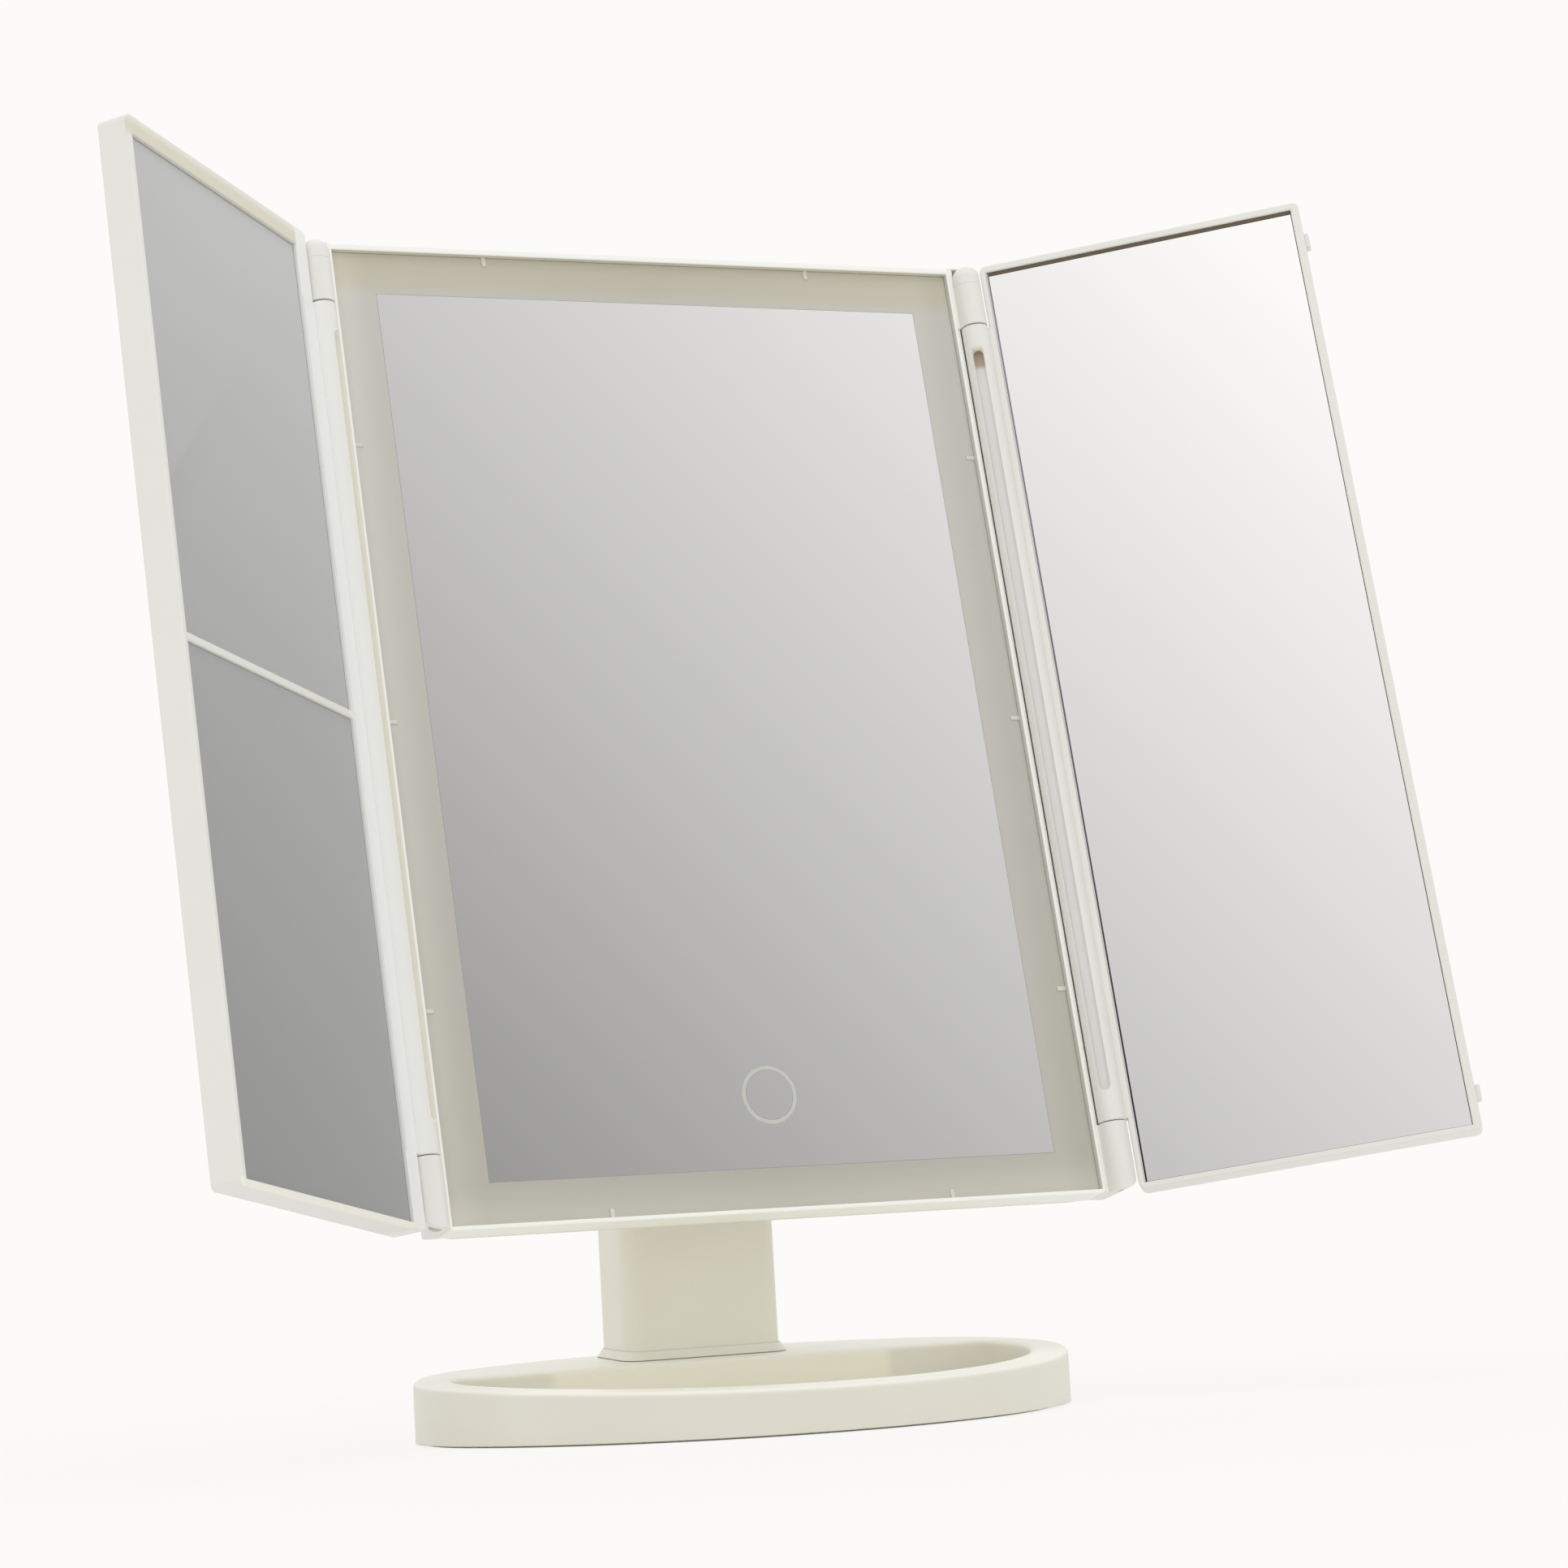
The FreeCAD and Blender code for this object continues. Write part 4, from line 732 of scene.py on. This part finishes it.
@dataclass
class GapShadeStrips:
    """Strips set in the gaps along the right mirror's hinge-side and top edges, painted with the gaps' shade
    and seen as thin dark lines.
    """

    mirrors: Mirrors
    front: float = 0.7 * MM
    back: float = 3.0 * MM
    side_width: float = 0.56 * MM
    top_width: float = 0.86 * MM
    shade_width: float = 0.34 * MM
    inset: float = 0.02 * MM
    top_setback: float = 0.25 * MM

    def right(self) -> Tuple[bpy.types.Object, bpy.types.Object]:
        """Returns the painted-shade strips in the right mirror's hinge-side and top gaps."""
        where = self.mirrors.lean.wing(1, self.mirrors.right_fold)
        (u0, u1), (z0, z1) = self.mirrors.right_u, self.mirrors.right_z
        side = Shapes.block("right_side_gap_shade", where, (u0 - self.side_width, self.front, z0),
                            (u0 - self.inset, self.back, z1 + self.top_width))
        # painted shade: near black at the foot of the hinge-side gap, fading paler towards the top
        paint = GapShadePaint("side_gap_shade_paint", where, tone(30, 30, 42), tone(150, 150, 166), (z0, z1),
                          u0 - self.shade_width)
        Shapes.wear(side, paint.make())
        top = Shapes.block("right_top_gap_shade", where, (u0, self.front + self.top_setback, z1 + self.inset),
                           (u1, self.back, z1 + self.top_width))
        # painted shade: a brown shadow line in the top gap
        paint = GapShadePaint("top_gap_shade_paint", where, tone(84, 74, 60), tone(112, 100, 84), (z0, z1))
        Shapes.wear(top, paint.make())
        return side, top

    def build(self) -> None:
        """Adds the painted-shade strips to the right wing."""
        for piece in self.right():
            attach(piece, Body.RIGHT_WING.value)
            LOG.info("added %s", piece.name)


# ----------------------------------------------------------------------------- studio


@dataclass(frozen=True)
class Lamp:
    """A square soft lamp: where it hangs, its side in metres and its power in watts."""

    name: str
    at: Tuple[float, float, float]
    size: float
    power: float


@dataclass
class Studio:
    """The pale floor, the soft light and the camera."""

    backdrop: Colour = tone(252, 251, 249)
    sky_level: float = 0.82
    floor_half: float = 4.0
    shadow_share: float = 0.14
    shadow_reach: Tuple[float, float] = (0.16, 0.45)
    camera_at: Tuple[float, float, float] = (-0.41483, -0.90535, 0.05462)
    camera_right: Tuple[float, float, float] = (0.911401, -0.407844, -0.054883)
    camera_up: Tuple[float, float, float] = (0.001819, -0.129373, 0.991594)
    lens: float = 98.776
    shift: Tuple[float, float] = (0.0441, -0.0685)
    lamp_aim: Tuple[float, float, float] = (0.0, 0.0, 0.15)
    lamps: Tuple[Lamp, ...] = (Lamp("overhead", (-0.1, -0.2, 1.8), 1.2, 5.2),
                               Lamp("low_front", (-0.35, -1.2, 0.1), 0.8, 0.7))

    def seen(self, tree: Tree) -> Wire:
        """Returns 1 for rays that show the background: camera, mirror and glass rays."""
        path = tree.node("ShaderNodeLightPath")
        camera = Wire(tree, path.outputs["Is Camera Ray"])
        glossy = Wire(tree, path.outputs["Is Glossy Ray"])
        return camera.larger(glossy).larger(Wire(tree, path.outputs["Is Transmission Ray"]))

    def world(self) -> None:
        """Lights the scene evenly and shows a near white background."""
        world = bpy.data.worlds.new("soft_white")
        bpy.context.scene.world = world
        world.use_nodes = True
        tree = Tree(world.node_tree)
        light = tree.node("ShaderNodeBackground", None,
                          {"Color": (1.0, 1.0, 1.0), "Strength": self.sky_level})
        shown = tree.node("ShaderNodeBackground", None, {"Color": self.backdrop, "Strength": 1.0})
        both = tree.node("ShaderNodeMixShader", None,
                         {0: self.seen(tree), 1: light.outputs[0], 2: shown.outputs[0]})
        tree.finish(both.outputs[0], "ShaderNodeOutputWorld")

    def floor(self) -> None:
        """Adds the floor, which melts into the background and keeps a faint shadow."""
        bpy.ops.object.select_all(action="DESELECT")
        bpy.ops.mesh.primitive_plane_add(size=2 * self.floor_half)
        floor = bpy.context.active_object
        floor.name = "floor"
        made, tree = material("pale_floor")
        path = self.seen(tree)
        flat = tree.node("ShaderNodeVectorMath", {"operation": "LENGTH"}, {0: tree.place()})
        near = 1.0 - Wire(tree, flat.outputs["Value"]).ramp(*self.shadow_reach)
        glow = tree.node("ShaderNodeEmission", None, {"Color": self.backdrop, "Strength": 1.0})
        cloth = tree.node("ShaderNodeBsdfDiffuse", None, {"Color": (0.9, 0.9, 0.89)})
        both = tree.node("ShaderNodeMixShader", None, {
            0: path * (1.0 - near * self.shadow_share), 1: cloth.outputs[0], 2: glow.outputs[0]})
        tree.finish(both.outputs[0])
        floor.data.materials.append(made)

    def hang(self, lamp: Lamp) -> None:
        """Adds a lamp that looks at the middle of the model."""
        data = bpy.data.lights.new(lamp.name, "AREA")
        data.size, data.energy = lamp.size, lamp.power
        obj = bpy.data.objects.new(lamp.name, data)
        obj.location = lamp.at
        obj.rotation_euler = (Vector(self.lamp_aim) - Vector(lamp.at)).to_track_quat("-Z", "Y").to_euler()
        obj.visible_camera = obj.visible_glossy = False
        bpy.context.scene.collection.objects.link(obj)

    def camera(self) -> None:
        """Adds the camera."""
        data = bpy.data.cameras.new("camera")
        data.sensor_width, data.lens = 36.0, self.lens
        data.shift_x, data.shift_y = self.shift
        data.clip_start, data.clip_end = 0.01, 20.0
        obj = bpy.data.objects.new("camera", data)
        right, up = Vector(self.camera_right), Vector(self.camera_up)
        turn = Matrix((right, up, right.cross(up))).transposed().to_4x4()
        obj.matrix_world = Matrix.Translation(self.camera_at) @ turn
        bpy.context.scene.collection.objects.link(obj)
        bpy.context.scene.camera = obj

    def build(self) -> None:
        """Sets up the whole studio."""
        bpy.context.scene.view_settings.view_transform = "Standard"
        self.world()
        self.floor()
        for lamp in self.lamps:
            self.hang(lamp)
        self.camera()


# -------------------------------------------------------------------------- mouldings


@dataclass
class Mouldings:
    """The plastic of the head frame and the wings, tinted where light and shade settle on it."""

    lean: Lean
    mirrors: Mirrors
    lip: float = 81.1 * MM
    lip_outer: float = 82.1 * MM
    height: float = 234.0 * MM
    recess: Tuple[float, float] = (0.3 * MM, 2.5 * MM)
    knuckle: Tuple[float, float] = (15.0 * MM, 219.2 * MM)
    slot_half: float = 1.25 * MM
    slot: Tuple[float, float] = (22.7 * MM, 211.5 * MM)
    slot_back: Tuple[float, float] = (-3.4 * MM, -1.2 * MM)
    slot_shade: float = 3.6 * MM
    slot_end: float = 0.3 * MM
    strip_inner: float = 2.4 * MM
    margin: float = 0.1 * MM
    knuckle_strip: float = 2.6 * MM
    lip_face: Tuple[float, float] = (-1.0 * MM, 3.6 * MM)
    lip_depth: Tuple[float, float] = (-1.0 * MM, 8.0 * MM)
    below: float = -2.0 * MM
    above: float = 237.0 * MM
    beside_top: float = 236.0 * MM
    wing_reach: float = 90.0 * MM
    wing_face: Tuple[float, float] = (-1.0 * MM, 0.9 * MM)
    top_border: float = 3.4 * MM
    bottom_border: float = 3.0 * MM

    def head(self) -> MouldedPlastic:
        """Returns the head frame's plastic, with painted light on its lip faces and beside the knuckles, and
        painted shade on its recess sides in the light panel's tone and along the recess top.
        """
        place = self.lean.head()
        wall, pale = tone(206, 205, 194), tone(255, 255, 249)
        edge, outer = self.margin, self.lip_outer
        wide = (-outer - edge, outer + edge)
        zones: List[Zone] = []
        # painted light: the lip faces and the strips out to the knuckles are near white, covering the shade
        # in the gaps by the knuckles
        for side in (-1, 1):
            near, far = sorted((side * (self.lip - edge), side * (outer + self.knuckle_strip)))
            zones.append(Zone(place, (near, far), self.lip_face, self.knuckle, pale, fade=0.5 * MM))
            near, far = sorted((side * (self.lip - edge), side * outer))
            zones.append(Zone(place, (near, far), self.lip_face, (self.below, self.beside_top), pale))
        # painted light on the lip faces below and above the recess
        for span in ((self.below, edge), (self.height, self.above)):
            zones.append(Zone(place, wide, self.lip_depth, span, pale, fade=edge))
        # painted shade: the recess sides take the light panel's shaded tone
        for side in (-1, 1):
            zones.append(Zone(place, (side * self.lip - edge, side * self.lip + edge), self.recess,
                              (0.0, self.height), wall))
        # painted shade: the recess top is darker and tanner, as if shadowed from above
        zones.append(Zone(place, (-self.lip, self.lip), self.recess,
                          (self.height - edge, self.height + edge), tone(222, 218, 200), fade=edge))
        return MouldedPlastic("head_frame_satin", CREAM, CREAM_SHADE,
                              edge_radius=0.12 * MM, zones=tuple(zones))

    def wing(self, side: int) -> MouldedPlastic:
        """Returns a wing frame's plastic.

        Args:
            side: -1 for the left wing and 1 for the right wing.

        Returns:
            The finish: on the left wing, painted light on the hinge strip, the slot and the bottom border,
                and painted shade along the top border; on the right wing, a painted grey shade on the slot
                floor and a painted tan shadow at the slot's top end.
        """
        left = side < 0
        fold = self.mirrors.left_fold if left else self.mirrors.right_fold
        place = self.lean.wing(side, fold)
        slot_across = (-self.slot_half, self.slot_half)
        if left:
            inner = self.mirrors.left_u[0]
            low, high = self.mirrors.left_z
            zones = [
                # painted light on the hinge strip, the slot and the bottom border; painted shade along the
                # top border
                Zone(place, (self.strip_inner, inner + 0.2 * MM), (-5.0 * MM, 8.0 * MM),
                     (-5.0 * MM, 240.0 * MM), tone(246, 246, 243), soft=1.0 * MM, fade=4.0 * MM),
                Zone(place, slot_across, self.slot_back, self.slot, tone(252, 250, 236), fade=0.3 * MM),
                Zone(place, (inner, self.wing_reach), self.wing_face, (high, high + self.top_border),
                     tone(226, 221, 200), fade=1.2 * MM),
                Zone(place, (inner, self.wing_reach), self.wing_face, (low - self.bottom_border, low),
                     tone(252, 250, 238), fade=0.5 * MM),
            ]
        else:
            end = self.slot[1] - self.slot_end
            zones = [
                # painted shade on the slot floor, with a painted tan shadow at the slot's top end
                Zone(place, slot_across, self.slot_back, self.slot, tone(238, 235, 232), fade=0.3 * MM),
                Zone(place, slot_across, self.slot_back, (end - self.slot_shade, end + 1.0 * MM),
                     tone(186, 168, 138), soft=0.5 * MM, fade=0.9 * MM),
            ]
        return MouldedPlastic("left_wing_satin" if left else "right_wing_satin", CREAM, CREAM_SHADE,
                              edge_radius=0.2 * MM, zones=tuple(zones))

    def dress(self, kit: Kit) -> None:
        """Gives the frames their plastic."""
        kit.dress("head_frame", self.head().make())
        kit.dress("left_wing_frame", self.wing(-1).make())
        kit.dress("right_wing_frame", self.wing(1).make())


@dataclass
class Stand:
    """The base tray, with painted light on its top faces and in its pocket."""

    middle: Vector = field(default_factory=lambda: Vector((0, 10.0 * MM, 13.7 * MM)))
    slope: float = 0.05
    skin: float = 0.7 * MM
    pocket_depth: float = 9.0 * MM
    reach: float = 100.0 * MM
    pocket_light_boxes: Tuple[Tuple[float, float, float], ...] = ((43.0 * MM, -49.0 * MM, 16.0 * MM),
                                                            (59.0 * MM, -32.0 * MM, 8.0 * MM))

    def finish(self) -> MouldedPlastic:
        """Returns the tray's plastic."""
        angle = math.atan(self.slope)
        deck = Place(self.middle, Vector((1, 0, 0)), Vector((0, math.cos(angle), math.sin(angle))),
                     Vector((0, -math.sin(angle), math.cos(angle))))
        # painted light: the top faces and the pocket are raised against the shade under the head
        top_painted_light = tone(254, 252, 241)
        zones = [Zone(deck, (-half, half), (front, back), (-self.pocket_depth, 1.0 * MM), tone(250, 247, 231),
                      soft=2.0 * MM) for half, front, back in self.pocket_light_boxes]
        zones.append(Zone(deck, (-self.reach, self.reach), (-self.reach, self.reach),
                          (-self.skin, self.reach), top_painted_light, fade=0.4 * MM))
        return MouldedPlastic("base_tray_satin", tone(237, 235, 222), tone(235, 232, 218), zones=tuple(zones))

    def dress(self, kit: Kit) -> None:
        """Gives the tray its plastic."""
        kit.dress("base_tray", self.finish().make())


def common_finishes(kit: Kit, lean: Lean) -> None:
    """Makes the finishes that the nodes share."""
    kit.add(Slot.CREAM, MouldedPlastic("cream_plastic_satin", CREAM, CREAM_SHADE))
    kit.add(Slot.WARM, MouldedPlastic("warm_plastic_satin", tone(241, 239, 226), tone(239, 236, 222)))
    kit.add(Slot.FROSTED, FrostedPanel("frosted_light_panel", lean.head(), tone(189, 186, 175),
                                       tone(203, 202, 194)))
    kit.add(Slot.MIRROR, MattSolid("plain_silver", tone(200, 200, 200), tone(190, 190, 190)))
    kit.add(Slot.INK, MattSolid("ring_white_ink", tone(206, 206, 199), tone(202, 202, 196), 0.45))
    kit.add(Slot.PAD, MattSolid("pad_silicone", tone(232, 230, 221), tone(226, 224, 214), 0.7, 900.0,
                                0.03 * MM))
    kit.add(Slot.TAPE, MattSolid("foam_tape", tone(226, 226, 222), tone(214, 214, 210), 0.85, 1400.0,
                                 0.04 * MM))
    kit.add(Slot.STEEL, Metal("zinc_plated_steel", tone(198, 200, 203)))
    kit.add(Slot.COATED, Metal("coated_black_steel", tone(62, 62, 64), 0.5, 0.0))
    kit.add(Slot.ACETAL, MattSolid("acetal_white", tone(236, 236, 230), tone(231, 231, 225), 0.35))
    kit.add(Slot.REFLECTOR, MattSolid("reflector_white", tone(240, 240, 238), tone(236, 236, 234), 0.6))
    kit.add(Slot.CIRCUIT, MattSolid("board_green", tone(44, 112, 66), tone(36, 100, 58), 0.4, 700.0,
                                    0.01 * MM, 0.3))
    kit.add(Slot.LAMP, MattSolid("diode_phosphor", tone(240, 222, 140), tone(232, 212, 126), 0.3, 900.0))
    kit.add(Slot.CELL, Metal("cell_sleeve", tone(150, 154, 162), 0.28, 0.6))
    kit.add(Slot.WIRE, MattSolid("wire_red", tone(190, 40, 34), tone(176, 34, 30), 0.4, 900.0))


def main() -> None:
    """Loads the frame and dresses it."""
    logging.basicConfig(level=logging.INFO, format="%(name)s: %(message)s")
    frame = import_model()
    lean = Lean()
    kit = Kit(frame)
    common_finishes(kit, lean)
    LOG.info("dressed %d nodes", kit.dress_all())
    mirrors = Mirrors(lean)
    mirrors.dress(kit)
    Mouldings(lean, mirrors).dress(kit)
    Stand().dress(kit)
    kit.dress("panel_clips", MouldedPlastic("clip_plastic", tone(226, 224, 214), tone(222, 220, 210)).make())
    GapShadeStrips(mirrors).build()
    Studio().build()


if __name__ == "__main__":
    main()
